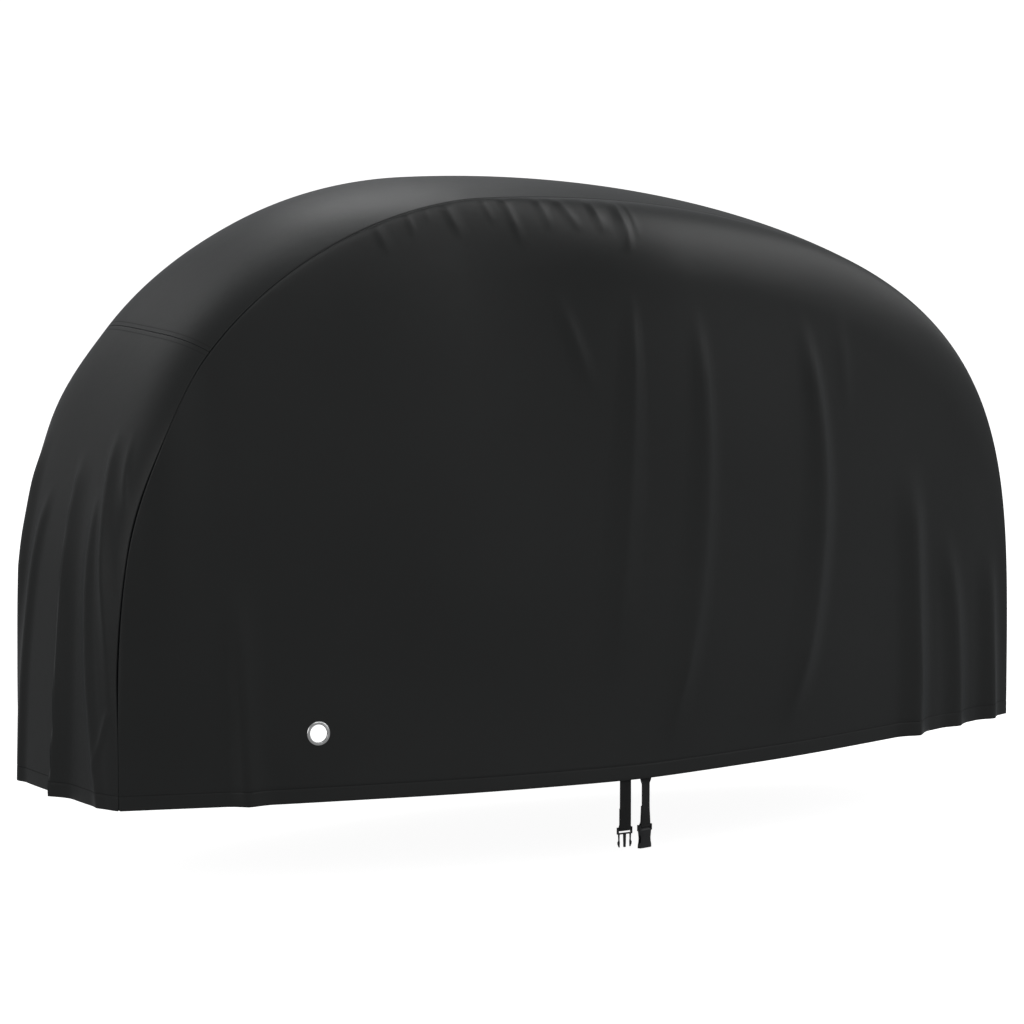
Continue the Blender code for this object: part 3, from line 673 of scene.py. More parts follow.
# ---------------------------------------------------------------- the hood's form
@dataclass(frozen=True)
class HoodForm:
    """The cover's form without folds: a seam arch in each side plane, and panels that flare out to the hem."""

    half_length: float = 1.0
    height: float = 1.094
    apex_x: float = -0.234
    front_powers: tuple[float, float] = (1.74, 3.45)
    rear_powers: tuple[float, float] = (1.95, 4.08)
    hem_bulge: float = 0.220
    hem_bulge_power: float = 1.60
    shoulder_depth: float = 0.14
    shoulder_shares: tuple[float, float] = (0.10, 0.55)
    shoulder_change: tuple[float, float] = (-0.30, 0.16)
    belly: float = 0.90
    cross_seam_x: float = -0.805
    # degrees round the arch, half width, crown, power of the crown's section
    gusset_cut: tuple[tuple[float, float, float, float], ...] = (
        (0.0, 0.208, 0.020, 6.0), (5.0, 0.200, 0.022, 6.0), (14.0, 0.204, 0.027, 6.0), (27.0, 0.225, 0.029, 5.0),
        (39.0, 0.209, 0.031, 4.0), (62.0, 0.206, 0.033, 2.2), (90.0, 0.203, 0.022, 2.0), (130.0, 0.200, 0.018, 2.0),
        (180.0, 0.200, 0.015, 2.0),
    )

    @property
    def hem_z(self) -> float:
        """Height of the hem."""
        return -self.height

    def quarter(self, front: Array) -> tuple[Array, Array, Array]:
        """Reach and powers of the front or the rear quarter of the arch.

        Args:
            front: Where the front quarter is meant.

        Returns:
            Reach along x, the power along x and the power along z.
        """
        reach = np.where(front, self.half_length + self.apex_x, self.half_length - self.apex_x)
        power_x = np.where(front, self.front_powers[0], self.rear_powers[0])
        power_z = np.where(front, self.front_powers[1], self.rear_powers[1])
        return reach, power_x, power_z

    def arch(self, station: Array) -> tuple[Array, Array]:
        """The seam line: a quarter superellipse on each side of the apex.

        Args:
            station: 0 at the front hem, half pi at the top, pi at the rear hem.

        Returns:
            x and z.
        """
        cosine = np.cos(station)
        front = cosine > 0.0
        reach, power_x, power_z = self.quarter(front)
        x = self.apex_x + np.where(front, -reach, reach) * np.abs(cosine) ** (2.0 / power_x)
        z = self.height * (np.clip(np.sin(station), 0.0, 1.0) ** (2.0 / power_z) - 1.0)
        return x, z

    def station_at_x(self, x: Array) -> Array:
        """Station of the seam line above a place along the length."""
        front = x < self.apex_x
        reach, power_x, _ = self.quarter(front)
        share = np.clip(np.abs(x - self.apex_x) / reach, 0.0, 1.0)
        angle = np.arccos(share ** (power_x / 2.0))
        return np.where(front, angle, math.pi - angle)

    def station_at_height(self, z: Array, rear: bool) -> Array:
        """Station where the seam line passes a height, on the front or the rear quarter."""
        power_z = self.rear_powers[1] if rear else self.front_powers[1]
        angle = np.arcsin(np.clip(1.0 + z / self.height, 0.0, 1.0) ** (power_z / 2.0))
        return math.pi - angle if rear else angle

    def outward(self, station: Array) -> Array:
        """Unit vector in the middle plane, square to the seam line and out of the cover.

        Args:
            station: Stations, of any shape.

        Returns:
            Vectors, with one more axis than the stations.
        """
        step = 1e-4
        x_back, z_back = self.arch(np.clip(station - step, 0.0, math.pi))
        x_on, z_on = self.arch(np.clip(station + step, 0.0, math.pi))
        return unit(np.stack([-(z_on - z_back), np.zeros_like(x_on), x_on - x_back], axis=-1))

    def cut(self, station: Array, column: int) -> Array:
        """A column of the gusset table, eased between its rows."""
        degrees = np.degrees(station)
        result = np.full(np.shape(degrees), self.gusset_cut[0][column], dtype=float)
        for row, following in zip(self.gusset_cut, self.gusset_cut[1:]):
            step = ease((degrees - row[0]) / (following[0] - row[0]))
            result = result + (following[column] - row[column]) * step
        return result

    def hem_half_width(self, x: Array) -> Array:
        """Half width at the hem: a straight line between the ends plus a bulge that falls off as a power."""
        along = (x / self.half_length + 1.0) / 2.0
        ends = self.gusset_cut[0][1] * (1.0 - along) + self.gusset_cut[-1][1] * along
        return ends + self.hem_bulge * (1.0 - np.abs(x / self.half_length) ** self.hem_bulge_power)

    def rearward(self, x: Array) -> Array:
        """0 in the cover's taut front half, 1 in its rounded rear half."""
        low, high = self.shoulder_change
        return ease((x - low) / (high - low))

    def shoulder_share(self, x: Array) -> Array:
        """Part of the flare that the rounded shoulder takes."""
        return self.shoulder_shares[0] + (self.shoulder_shares[1] - self.shoulder_shares[0]) * self.rearward(x)

    def flank(self, x: Array, z: Array) -> Array:
        """Distance of a side panel from the middle plane.

        It grows from the seam's half width to the hem's, by a quarter ellipse for the shoulder and then a flare,
        which is straight in the rear half and has a belly high up in the front half.

        Args:
            x: Places along the length.
            z: Heights.

        Returns:
            Distances.
        """
        station = self.station_at_x(x)
        top = self.arch(station)[1]
        depth = np.clip(top - z, 0.0, None)
        drop = np.maximum(top - self.hem_z, TINY)
        seam = self.cut(station, 1)
        share = self.shoulder_share(x)
        roll = np.sqrt(1.0 - (1.0 - np.clip(depth / self.shoulder_depth, 0.0, 1.0)) ** 2)
        flare = self.hem_half_width(x) - seam
        down = np.clip(depth / drop, 0.0, 1.0)
        down = down + self.belly * (1.0 - self.rearward(x)) * down * (1.0 - down) ** 2
        return seam + flare * (share * roll + (1.0 - share) * down)

    def inside_by(self, x: Array, z: Array) -> Array:
        """Distance of a place from the seam line, measured straight up, forwards or backwards."""
        below = self.arch(self.station_at_x(x))[1] - z
        behind_front = x - self.arch(self.station_at_height(z, False))[0]
        before_rear = self.arch(self.station_at_height(z, True))[0] - x
        return np.minimum(below, np.minimum(behind_front, before_rear))

    def inset(self, station: Array, distance: float) -> tuple[Array, Array]:
        """Seam line moved inwards, so that a panel's surface ends a distance short of the seam.

        A shoulder leaves sideways as the square root of its depth, so a smaller step down is enough where it is
        wide.

        Args:
            station: Stations.
            distance: Wanted distance along the surface.

        Returns:
            x and z.
        """
        x, z = self.arch(station)
        out = self.outward(station)
        sideways = (self.hem_half_width(x) - self.cut(station, 1)) * self.shoulder_share(x)
        curl = sideways ** 2 / self.shoulder_depth
        step = np.sqrt(curl ** 2 + distance ** 2) - curl
        return x - out[..., 0] * step, z - out[..., 2] * step

    def seam_frame(self, station: Array, side: Side, reach: float) -> tuple[Array, Array, Array]:
        """How the two cloths meet at a main seam.

        Args:
            station: Stations along the seam.
            side: Left or right.
            reach: How far from the seam the panel's slope is taken.

        Returns:
            The panel's direction towards the seam, the gusset's direction towards it, and the direction in which
            both cloths turn in: each a unit vector for each station.
        """
        out = self.outward(station)
        across = np.zeros_like(out)
        across[..., 1] = side.value
        x, z = self.arch(station)
        near_x, near_z = self.inset(station, reach)
        far_x, far_z = self.inset(station, 2.0 * reach)
        run = np.hypot(far_x - near_x, far_z - near_z) + TINY
        slope = (self.flank(far_x, far_z) - self.flank(near_x, near_z)) / run
        slope = np.clip(slope, 0.0, 12.0)[..., None]
        lean = (self.cut(station, 3) * self.cut(station, 2) / self.cut(station, 1))[..., None]
        panel_face = unit(across + slope * out)
        gusset_face = unit(out + lean * across)
        return unit(out - slope * across), unit(across - lean * out), -unit(panel_face + gusset_face)


def turned_edge(edge: Array, towards: Array, inwards: Array, radius: float, tails: tuple[float, ...]) -> Array:
    """Rings of points that carry a cloth's edge round a bend and on into the seam.

    The edge's direction turns evenly from one vector to the other along an arc of the radius, then runs straight.

    Args:
        edge: Points of the edge, n by 3.
        towards: Unit directions in which the cloth arrives.
        inwards: Unit directions in which it leaves.
        radius: Radius of the bend.
        tails: Lengths of the straight part at which there is a ring.

    Returns:
        Points, rings by n by 3.
    """
    steps = 4
    angle = np.arccos(np.clip(np.sum(towards * inwards, axis=-1), -1.0, 1.0))[:, None]
    place = edge
    rings = []
    for step in range(steps):
        share = (step + 0.5) / steps
        heading = unit(towards * np.sin((1.0 - share) * angle) + inwards * np.sin(share * angle))
        place = place + heading * radius * angle / steps
        rings.append(place)
    return np.stack(rings + [place + inwards * tail for tail in tails])


@dataclass(frozen=True)
class SheetSizes:
    """Sizes that all the cover's sheets share."""

    cloth: float = 0.0008
    proud: float = 0.0004
    seam_reach: float = 0.0022
    # how far the gusset's edge stops short of the panel's, and how far its innermost ring leans over towards it
    seam_gap: float = 0.0008
    seam_close: float = 0.0030
    # half the gap at the cross seam in radians of station, and its stitched line's distance below it
    cross_seam_gap: float = 0.0016
    cross_seam_stitch: float = 0.008
    seam_radius: float = 0.0022
    seam_tails: tuple[float, ...] = (0.003, 0.008)
    hem_depth: float = 0.028
    hem_groove: float = 0.0007
    groove_reach: float = 0.003
    # lowest row of the outer face above the hem's edge
    first_row: float = 0.0012
    # the turned-up hem: distance inside the outer face, height above the edge
    hem_turn: tuple[tuple[float, float], ...] = (
        (0.0022, 0.030), (0.0022, 0.020), (0.0022, 0.010), (0.0022, 0.0022), (0.0019, 0.0008), (0.0011, 0.0),
        (0.0003, 0.0004),
    )

    def groove(self, height: Array) -> Array:
        """Depth of the stitched line at a height above the hem: a smooth dip to each side of it."""
        return self.hem_groove * (1.0 - ease(np.abs(height - self.hem_depth) / self.groove_reach))


SHEET = SheetSizes()


# ---------------------------------------------------------------- the side panels
@dataclass
class SidePanel:
    """One side panel: a sheet from the hem to the main seam, with a hole for its eyelet."""

    name: str
    side: Side
    form: HoodForm
    folds: tuple[Fold, ...]
    puckers: tuple[Fold, ...]
    finish: ClothFinish
    node: str
    corner_share: float = 0.93
    edge_fade: float = 0.04
    eyelet: tuple[float, float] = (-0.636, -0.966)
    flat_patch: tuple[float, float] = (0.060, 0.120)
    hole: float = 0.0180
    hole_reach: float = 0.027
    flat: tuple[float, float] = (2.05, 1.16)
    flat_area: float = 1.93

    def draped(self, x: Array, z: Array) -> Array:
        """Distance from the middle plane, with the folds, before the flat patch.

        Args:
            x: Places along the length.
            z: Heights.

        Returns:
            Distances.
        """
        inside = self.form.inside_by(x, z)
        large = total_rise(self.folds, x, z) * ease(inside / self.edge_fade)
        small = total_rise(self.puckers, x, z) * ease((inside + 0.004) / 0.012)
        slack = 0.0009 * (np.sin(9.0 * x + 3.1 * z) + np.sin(17.0 * x - 6.0 * z + 1.3) + np.sin(5.0 * x + 14.0 * z))
        return self.form.flank(x, z) + large + small + slack * ease(inside / 0.12)

    def half_width(self, x: Array, z: Array) -> Array:
        """Distance from the middle plane, flat around the eyelet.

        Inside the patch the surface is its own tangent plane at the eyelet, eased into the drape around it.

        Args:
            x: Places along the length.
            z: Heights.

        Returns:
            Distances.
        """
        step = 1e-3
        at_x, at_z = self.eyelet
        near = self.draped(np.array([at_x, at_x + step, at_x]), np.array([at_z, at_z, at_z + step]))
        plane = near[0] + (near[1] - near[0]) / step * (x - at_x) + (near[2] - near[0]) / step * (z - at_z)
        low, high = self.flat_patch
        loose = ease((np.hypot(x - at_x, z - at_z) - low) / (high - low))
        return plane + (self.draped(x, z) - plane) * loose

    def columns(self) -> Array:
        """Places of the columns along the hem: close together under the puckers, by the ends and by the eyelet."""
        x = np.linspace(-1.0, 1.0, 4001)
        spacing = np.minimum(0.0108, 0.0014 + 0.35 * (1.0 - np.abs(x)))
        spacing = np.where((x > -0.53) & (x < 0.135), np.minimum(spacing, 0.0042), spacing)
        spacing = np.where(np.abs(x - self.eyelet[0]) < 0.045, np.minimum(spacing, 0.0060), spacing)
        return graded(-self.form.half_length, self.form.half_length, spacing)

    def rows(self) -> Array:
        """Shares of the height at the rows: close together at the hem, by the eyelet and under the seam."""
        share = np.linspace(0.0, 1.0, 4001)
        spacing = np.minimum(0.0112, 0.0014 + 0.3 * (1.0 - share))
        spacing = np.where(share > 0.885, np.minimum(spacing, 0.0050), spacing)
        spacing = np.where(share < 0.045, np.minimum(spacing, 0.0052), spacing)
        spacing = np.where(np.abs(share - 0.0256) < 0.005, 0.0016, spacing)
        spacing = np.where(np.abs(share - 0.125) < 0.032, np.minimum(spacing, 0.0065), spacing)
        return graded(0.0, 1.0, spacing)

    def place(self, x: Array, z: Array) -> Array:
        """Points of the outer face above places in the side plane."""
        groove = SHEET.groove(z - self.form.hem_z)
        y = self.side.value * (self.half_width(x, z) + SHEET.proud - groove)
        return np.stack([x, y, z], axis=-1)

    def patch(self) -> tuple[Array, Array, tuple[Array, Array, Array]]:
        """The side plane's grid: a Coons patch between the hem and the arch.

        A blend of each pair of opposite edges, less the blend of the four corners.

        Returns:
            x and z of the grid, and the stations of its front, top and rear edges.
        """
        form, columns, shares = self.form, self.columns(), self.rows()
        top = form.station_at_x(columns * self.corner_share)
        low = form.hem_z + SHEET.first_row
        front = form.station_at_height(low + shares * (form.arch(top[0])[1] - low), False)
        rear = form.station_at_height(low + shares * (form.arch(top[-1])[1] - low), True)
        u = ((columns + form.half_length) / (2.0 * form.half_length))[None, :]
        w = shares[:, None]
        edges = [form.inset(station, SHEET.seam_reach) for station in (front, top, rear)]
        hem = (edges[0][0][0] + (edges[2][0][0] - edges[0][0][0]) * u, np.full_like(u, low))
        grids = []
        for axis in (0, 1):
            left, over, right = (edge[axis] for edge in edges)
            corners = ((1 - u) * (1 - w) * left[0] + u * (1 - w) * right[0] + (1 - u) * w * left[-1]
                       + u * w * right[-1])
            grids.append((1 - w) * hem[axis] + w * over[None, :] + (1 - u) * left[:, None]
                         + u * right[:, None] - corners)
        grids[1][0, :] = low
        return grids[0], grids[1], (front, top, rear)

    def build(self) -> bpy.types.Object:
        """The panel with its turned-up hem, its turned-in seam edges and its eyelet's hole.

        Returns:
            The finished piece.
        """
        x, z, (front, top, rear) = self.patch()
        face = self.place(x, z)
        hem = []
        for inside, above in SHEET.hem_turn:
            ring = self.place(x[0], np.full_like(x[0], self.form.hem_z + above))
            ring[:, 1] -= self.side.value * inside
            hem.append(ring)
        body = np.concatenate([np.stack(hem), face])
        edges = []
        for edge, station in ((face[:, 0], front), (face[-1], top), (face[:, -1], rear)):
            towards, _, inwards = self.form.seam_frame(station, self.side, SHEET.seam_reach)
            edges.append(turned_edge(edge, towards, inwards, SHEET.seam_radius, SHEET.seam_tails))
        rings, turn = len(edges[0]), len(hem)
        rows, columns = body.shape[0] + rings, body.shape[1] + 2 * rings
        points = np.zeros((rows, columns, 3))
        points[:body.shape[0], rings:-rings] = body
        points[turn:body.shape[0], :rings] = edges[0][::-1].transpose(1, 0, 2)
        points[turn:body.shape[0], -rings:] = edges[2].transpose(1, 0, 2)
        points[body.shape[0]:, rings:-rings] = edges[1]
        faces = grid_faces(rows, columns, flip=self.side is Side.RIGHT)
        row, column = np.indices(faces.shape[:2])
        beside = (column < rings) | (column >= columns - 1 - rings)
        keep = ~(beside & ((row < turn) | (row >= body.shape[0] - 1)))
        points, keep = self.pierce(points, faces, keep)
        uv = np.zeros((rows, columns, 2))
        uv[..., 0] = points[..., 0]
        uv[..., 1] = points[..., 2] - self.form.hem_z
        uv[:turn, :, 1] *= -1.0
        mesh = mesh_from(self.name, points.reshape(-1, 3), faces[keep], uv.reshape(-1, 2))
        piece = add_piece(self.name, mesh, self.finish.material(self.name + "_cloth", (SHEET.hem_depth,)),
                          (self.node,))
        thicken(piece, SHEET.cloth)
        return piece

    def pierce(self, points: Array, faces: Array, keep: Array) -> tuple[Array, Array]:
        """Open the eyelet's hole: points near its centre move out radially, and the faces inside go.

        Args:
            points: The grid's points.
            faces: The grid's faces.
            keep: Which faces are kept so far.

        Returns:
            The moved points and the faces that are kept.
        """
        centre, _ = self.seat()
        away = points - centre
        distance = np.linalg.norm(away, axis=-1)
        first = self.hole / 2.0
        wanted = self.hole + (distance - first) * (self.hole_reach - self.hole) / (self.hole_reach - first)
        near = distance < self.hole_reach
        moved = np.where(near[..., None], centre + away * (wanted / (distance + TINY))[..., None], points)
        gone = (distance < first).ravel()
        return moved, keep & ~gone[faces].any(axis=-1)

    def seat(self) -> tuple[Array, Array]:
        """Centre of the eyelet on the outer face, and the face's outward unit normal there."""
        step = 1e-3
        at_x, at_z = self.eyelet
        near = self.half_width(np.array([at_x, at_x + step, at_x]), np.array([at_z, at_z, at_z + step]))
        normal = unit(np.array([-(near[1] - near[0]) / step, self.side.value, -(near[2] - near[0]) / step]))
        return np.array([at_x, self.side.value * (near[0] + SHEET.proud), at_z]), normal


# ---------------------------------------------------------------- the gusset
@dataclass
class Gusset:
    """One of the gusset's two pieces: a crowned strip over a stretch of the arch."""

    name: str
    form: HoodForm
    folds: tuple[Fold, ...]
    finish: ClothFinish
    node: str
    stations: tuple[float, float]
    across_step: float
    along_step: float
    flat: tuple[float, float]
    hem_first: bool

    def surface(self, station: Array, y: Array) -> Array:
        """Points of the outer face: the arch, raised along its outward direction by the crown and the folds.

        The crown falls off across the strip as a power of the share of the half width, and the folds fade at its
        edges.

        Args:
            station: Stations.
            y: Places across.

        Returns:
            Points.
        """
        x, z = self.form.arch(station)
        share = y / self.form.cut(station, 1)
        edges = 1.0 - np.clip(np.abs(share), 0.0, 1.0) ** 8
        crown = self.form.cut(station, 2) * (1.0 - np.abs(share) ** self.form.cut(station, 3))
        offset = crown + SHEET.proud - SHEET.groove(z - self.form.hem_z)
        offset = offset + edges * total_rise(self.folds, y, z + 0.0 * y)
        flat = np.stack([x + 0.0 * y, y, z + 0.0 * y], axis=-1)
        return flat + self.form.outward(station) * offset[..., None]

    def rows(self) -> Array:
        """Stations of the rows: even along the arch, and close together at the hem's stitched line."""
        fine = np.linspace(*self.stations, 6001)
        x, z = self.form.arch(fine)
        length = np.concatenate([[0.0], np.cumsum(np.hypot(np.diff(x), np.diff(z)))])
        from_hem = length if self.hem_first else length[-1] - length
        from_seam = length[-1] - from_hem
        spacing = np.minimum(self.along_step, 0.0014 + 0.3 * from_seam)
        spacing = np.where(from_hem < 0.045, np.minimum(spacing, 0.005), spacing)
        spacing = np.where(np.abs(from_hem - SHEET.hem_depth) < 0.005, 0.0016, spacing)
        even = np.interp(np.linspace(0.0, length[-1], 6001), length, spacing)
        return np.interp(graded(0.0, length[-1], even), length, fine)

    def build(self) -> bpy.types.Object:
        """The strip with its hem, its turned-in long edges and its turned-in end at the cross seam.

        Returns:
            The finished piece.
        """
        form = self.form
        station = self.rows()
        near_hem = 0 if self.hem_first else -1
        count = 2 * math.ceil(form.gusset_cut[0][1] / self.across_step) + 1
        share = np.linspace(-1.0, 1.0, count)
        share = np.sin(share * 1.35) / math.sin(1.35)
        half = form.cut(station, 1) - SHEET.seam_reach - SHEET.seam_gap
        y = half[:, None] * share[None, :]
        face = self.surface(station[:, None], y)
        face[near_hem, :, 2] = form.hem_z + SHEET.first_row
        out = form.outward(station)
        hem = []
        for inside, above in SHEET.hem_turn:
            level = np.full(count, float(form.station_at_height(np.array(form.hem_z + above + TINY),
                                                                not self.hem_first)))
            ring = self.surface(level, y[near_hem])
            ring = ring - form.outward(level) * inside
            ring[:, 2] = form.hem_z + above
            hem.append(ring)
        end = -1 if self.hem_first else 0
        tangent = unit(face[end] - face[-2 if self.hem_first else 1])
        inwards = np.broadcast_to(-out[end], tangent.shape)
        seam_end = turned_edge(face[end], tangent, unit(inwards), SHEET.seam_radius / 2.0, SHEET.seam_tails)
        hem_rings = np.stack(hem)
        if self.hem_first:
            body = np.concatenate([hem_rings, face, seam_end])
            first, last = len(hem), len(hem) + len(station)
        else:
            body = np.concatenate([seam_end[::-1], face, hem_rings[::-1]])
            first, last = len(seam_end), len(seam_end) + len(station)
        sides = []
        for side, column in ((Side.LEFT, 0), (Side.RIGHT, -1)):
            _, towards, turn_in = form.seam_frame(station, side, SHEET.seam_reach)
            turned = turned_edge(face[:, column], towards, turn_in, SHEET.seam_radius, SHEET.seam_tails)
            part_inwards = np.sum(towards * turn_in, axis=-1, keepdims=True)
            turned[-1] += SHEET.seam_close * unit(towards - turn_in * part_inwards)
            sides.append(turned)
        rings = len(sides[0])
        points = np.zeros((len(body), count + 2 * rings, 3))
        points[:, rings:-rings] = body
        points[first:last, :rings] = sides[0][::-1].transpose(1, 0, 2)
        points[first:last, -rings:] = sides[1].transpose(1, 0, 2)
        faces = grid_faces(*points.shape[:2], flip=True)
        row, column = np.indices(faces.shape[:2])
        beside = (column < rings) | (column >= points.shape[1] - 1 - rings)
        keep = ~(beside & ((row < first) | (row >= last - 1)))
        length = run_along(points[:, rings + count // 2])
        length = length - length[first] if self.hem_first else length[last - 1] - length
        uv = np.stack(np.broadcast_arrays(points[..., 1], length[:, None]), axis=-1)
        mesh = mesh_from(self.name, points.reshape(-1, 3), faces[keep], uv.reshape(-1, 2))
        lines = (SHEET.hem_depth, float(abs(length[last - 1] - length[first])) - SHEET.cross_seam_stitch)
        piece = add_piece(self.name, mesh, self.finish.material(self.name + "_cloth", lines),
                          (self.node,))
        thicken(piece, SHEET.cloth)
        return piece


# ---------------------------------------------------------------- the eyelets
@dataclass
class Eyelet:
    """A pressed eyelet and washer: a profile turned about the hole's axis."""

    name: str
    panel: SidePanel
    finish: MetalFinish
    node: str
    steps: int = 96
    behind_scale: float = 0.72
    # (radius, height over the cloth) of the outer flange, from the bore out
    flange: tuple[tuple[float, float], ...] = (
        (0.01650, 0.0), (0.01650, 0.0014), (0.01668, 0.0022), (0.01715, 0.0027), (0.01790, 0.0029),
        (0.01880, 0.00275), (0.02010, 0.0023), (0.02130, 0.0018), (0.02205, 0.0013), (0.02245, 0.0007),
        (0.02250, 0.00030), (0.02225, 0.00012),
    )

    def build(self) -> bpy.types.Object:
        """The ring: the flange's profile, its plainer mirror behind the cloth, turned in equal steps.

        Returns:
            The finished piece.
        """
        outer = np.array(self.flange)
        sheet = SHEET.cloth + 0.0001
        inner = outer * (1.0, -self.behind_scale) + (0.0, -sheet)
        profile = np.concatenate([outer[::-1], inner[1:]])
        centre, normal = self.panel.seat()
        first = unit(np.cross(normal, np.array([0.0, 0.0, 1.0])))
        second = np.cross(normal, first)
        angle = np.linspace(0.0, 2.0 * math.pi, self.steps, endpoint=False)[:, None, None]
        radius = profile[None, :, :1]
        points = (centre + (np.cos(angle) * first + np.sin(angle) * second) * radius
                  + normal * profile[None, :, 1:])
        count = len(profile)
        index = np.arange(self.steps * count).reshape(self.steps, count)
        along = np.roll(index, -1, axis=0)
        faces = np.stack([index, np.roll(index, -1, axis=1), np.roll(along, -1, axis=1), along], axis=-1)
        mesh = mesh_from(self.name, points.reshape(-1, 3), faces.reshape(-1, 4))
        return add_piece(self.name, mesh, self.finish.material(self.name + "_plate"), (self.node,))


# ---------------------------------------------------------------- straps and buckles
@dataclass(frozen=True)
class StrapSizes:
    """Sizes that both straps share."""

    width: float = 0.025
    thick: float = 0.0014
    top: float = 0.042
    turn_back: float = 0.030
    clear: float = 0.0006
    sewn_clear: float = 0.0016
    cad_cloth: float = 0.0015
    bar_radius: float = 0.0018
    bar_clear: float = 0.0005
    twist: tuple[float, float] = (0.13, 0.55)

    @property
    def loop(self) -> float:
        """Radius of the middle of the webbing round the bar."""
        return self.bar_radius + self.bar_clear + self.thick / 2.0


@dataclass
class Strap:
    """Webbing from behind the left hem down to a buckle's bar and sewn back on itself."""

    name: str
    panel: SidePanel
    finish: WebbingFinish
    node: str
    centre_x: float
    drop: float
    turns: tuple[float, float]
    sizes: StrapSizes = field(default_factory=StrapSizes)

    @property
    def bar(self) -> Array:
        """Centre of the buckle's bar before the strap's turn."""
        behind = self.sizes.cad_cloth / 2.0 + self.sizes.sewn_clear + self.sizes.thick / 2.0
        hem = float(self.panel.half_width(np.array(self.centre_x), np.array(self.panel.form.hem_z)))
        return np.array([self.centre_x, behind - hem + self.sizes.loop, self.panel.form.hem_z - self.drop])

    def seat(self) -> tuple[Array, float]:
        """Centre of the bar in its turned place, and the buckle's turn about the vertical in radians."""
        angle = math.radians(self.turns[1])
        return self.bar + np.array([-self.sizes.loop * math.sin(angle), 0.0, 0.0]), angle

    def turn(self, below: Array) -> Array:
        """Turn about the vertical at a share of the drop below the hem: the strap's own, then the buckle's."""
        free, buckle = self.turns
        first, second = self.sizes.twist
        degrees = free * ease(below / first) + (buckle - free) * ease((below - second) / (1.0 - second))
        return np.radians(degrees)

    def centre_line(self) -> tuple[Array, Array, Array]:
        """The strap's side view: up behind the cloth, straight down, half round the bar and back up.

        Returns:
            Points (y from the bar, z from the bar), the outward normals in that plane, and where the strap lies
            behind the cloth.
        """
        size, drop = self.sizes, self.drop
        radius = size.loop
        hidden = np.linspace(size.top, 0.004, 8) + drop
        free = np.linspace(drop, 0.0, 34)
        straight = np.concatenate([hidden, free])
        down = np.stack([np.full(len(straight), -radius), straight], axis=-1)
        angle = np.linspace(0.0, math.pi, 17)[1:]
        loop = np.stack([-radius * np.cos(angle), -radius * np.sin(angle)], axis=-1)
        back = -radius + size.thick + size.clear
        rise = np.linspace(0.0, 1.0, 12)[1:]
        meet = 3.5 * radius
        lean = np.stack([radius + (back - radius) * ease(rise), meet * rise], axis=-1)
        up = np.stack([np.full(10, back), np.linspace(meet, meet + size.turn_back, 11)[1:]], axis=-1)
        line = np.concatenate([down, loop, lean, up])
        heading = unit(np.gradient(line, axis=0))
        normal = np.stack([heading[:, 1], -heading[:, 0]], axis=-1)
        return line, normal, line[:, 1] > drop + 0.002

    def build(self) -> bpy.types.Object:
        """The strap: a flat section with rounded edges, carried along the centre line and twisted.

        The section is a superellipse, 25 mm by 1.4 mm, of power 6 across and 2.2 through.

        Returns:
            The finished piece.
        """
        size = self.sizes
        line, normal, behind = self.centre_line()
        theta = np.linspace(0.0, 2.0 * math.pi, 41)[:-1]
        across = size.width / 2.0 * rounded(np.cos(theta), 6.0)
        through = size.thick / 2.0 * rounded(np.sin(theta), 2.2)
        y = line[:, :1] + normal[:, :1] * through
        z = line[:, 1:] + normal[:, 1:] * through
        angle = self.turn(1.0 - line[:, 1:] / self.drop)
        bar = self.bar
        points = np.stack([
            bar[0] + across * np.cos(angle) - (y + size.loop) * np.sin(angle),
            bar[1] + across * np.sin(angle) + y * np.cos(angle),
            bar[2] + z,
        ], axis=-1)
        cloth = self.panel.half_width(points[..., 0], points[..., 2])
        inside = size.cad_cloth / 2.0 + size.sewn_clear + size.thick / 2.0
        sewn = -cloth + inside + through
        points[..., 1] = np.where(behind[:, None], sewn, points[..., 1])
        rows, columns = points.shape[:2]
        faces = grid_faces(rows, columns, around=True).reshape(-1, 4)
        length = run_along(line)
        uv = np.stack(np.broadcast_arrays(across[None, :], length[:, None]), axis=-1)
        half = columns // 2
        lower, upper = np.arange(1, half), columns - np.arange(1, half)
        caps = []
        for start, turned in ((0, False), ((rows - 1) * columns, True)):
            ladder = np.stack([lower[:-1], lower[1:], upper[1:], upper[:-1]], axis=-1) + start
            ends = np.array([[0, 1, columns - 1, columns - 1], [half - 1, half, half + 1, half + 1]]) + start
            caps.append(np.concatenate([ladder, ends])[:, ::-1] if turned else np.concatenate([ladder, ends]))
        mesh = self.capped(points.reshape(-1, 3), faces, caps, uv.reshape(-1, 2))
        piece = add_piece(self.name, mesh, self.finish.material(self.name + "_webbing"), (self.node,))
        LOG.info("%s is %.0f mm of webbing", self.name, 1000.0 * length[-1])
        return piece

    def capped(self, points: Array, faces: Array, caps: list[Array], uv: Array) -> bpy.types.Mesh:
        """The tube with its two cut ends closed.

        Args:
            points: All points.
            faces: The tube's quads.
            caps: Quads of the two ends; a repeated corner makes a triangle.
            uv: The map.

        Returns:
            The closed mesh.
        """
        ends = np.concatenate(caps)
        flat = [list(dict.fromkeys(face)) for face in ends.tolist()]
        closed = bpy.data.meshes.new(self.name)
        closed.from_pydata(points.tolist(), [], faces.tolist() + flat)
        layer = closed.uv_layers.new(name=CLOTH_MAP)
        corners = np.concatenate([faces.ravel(), np.array([c for face in flat for c in face])])
        layer.data.foreach_set("uv", uv[corners].astype(np.float32).ravel())
        closed.polygons.foreach_set("use_smooth", np.full(len(closed.polygons), True))
        closed.update()
        return closed


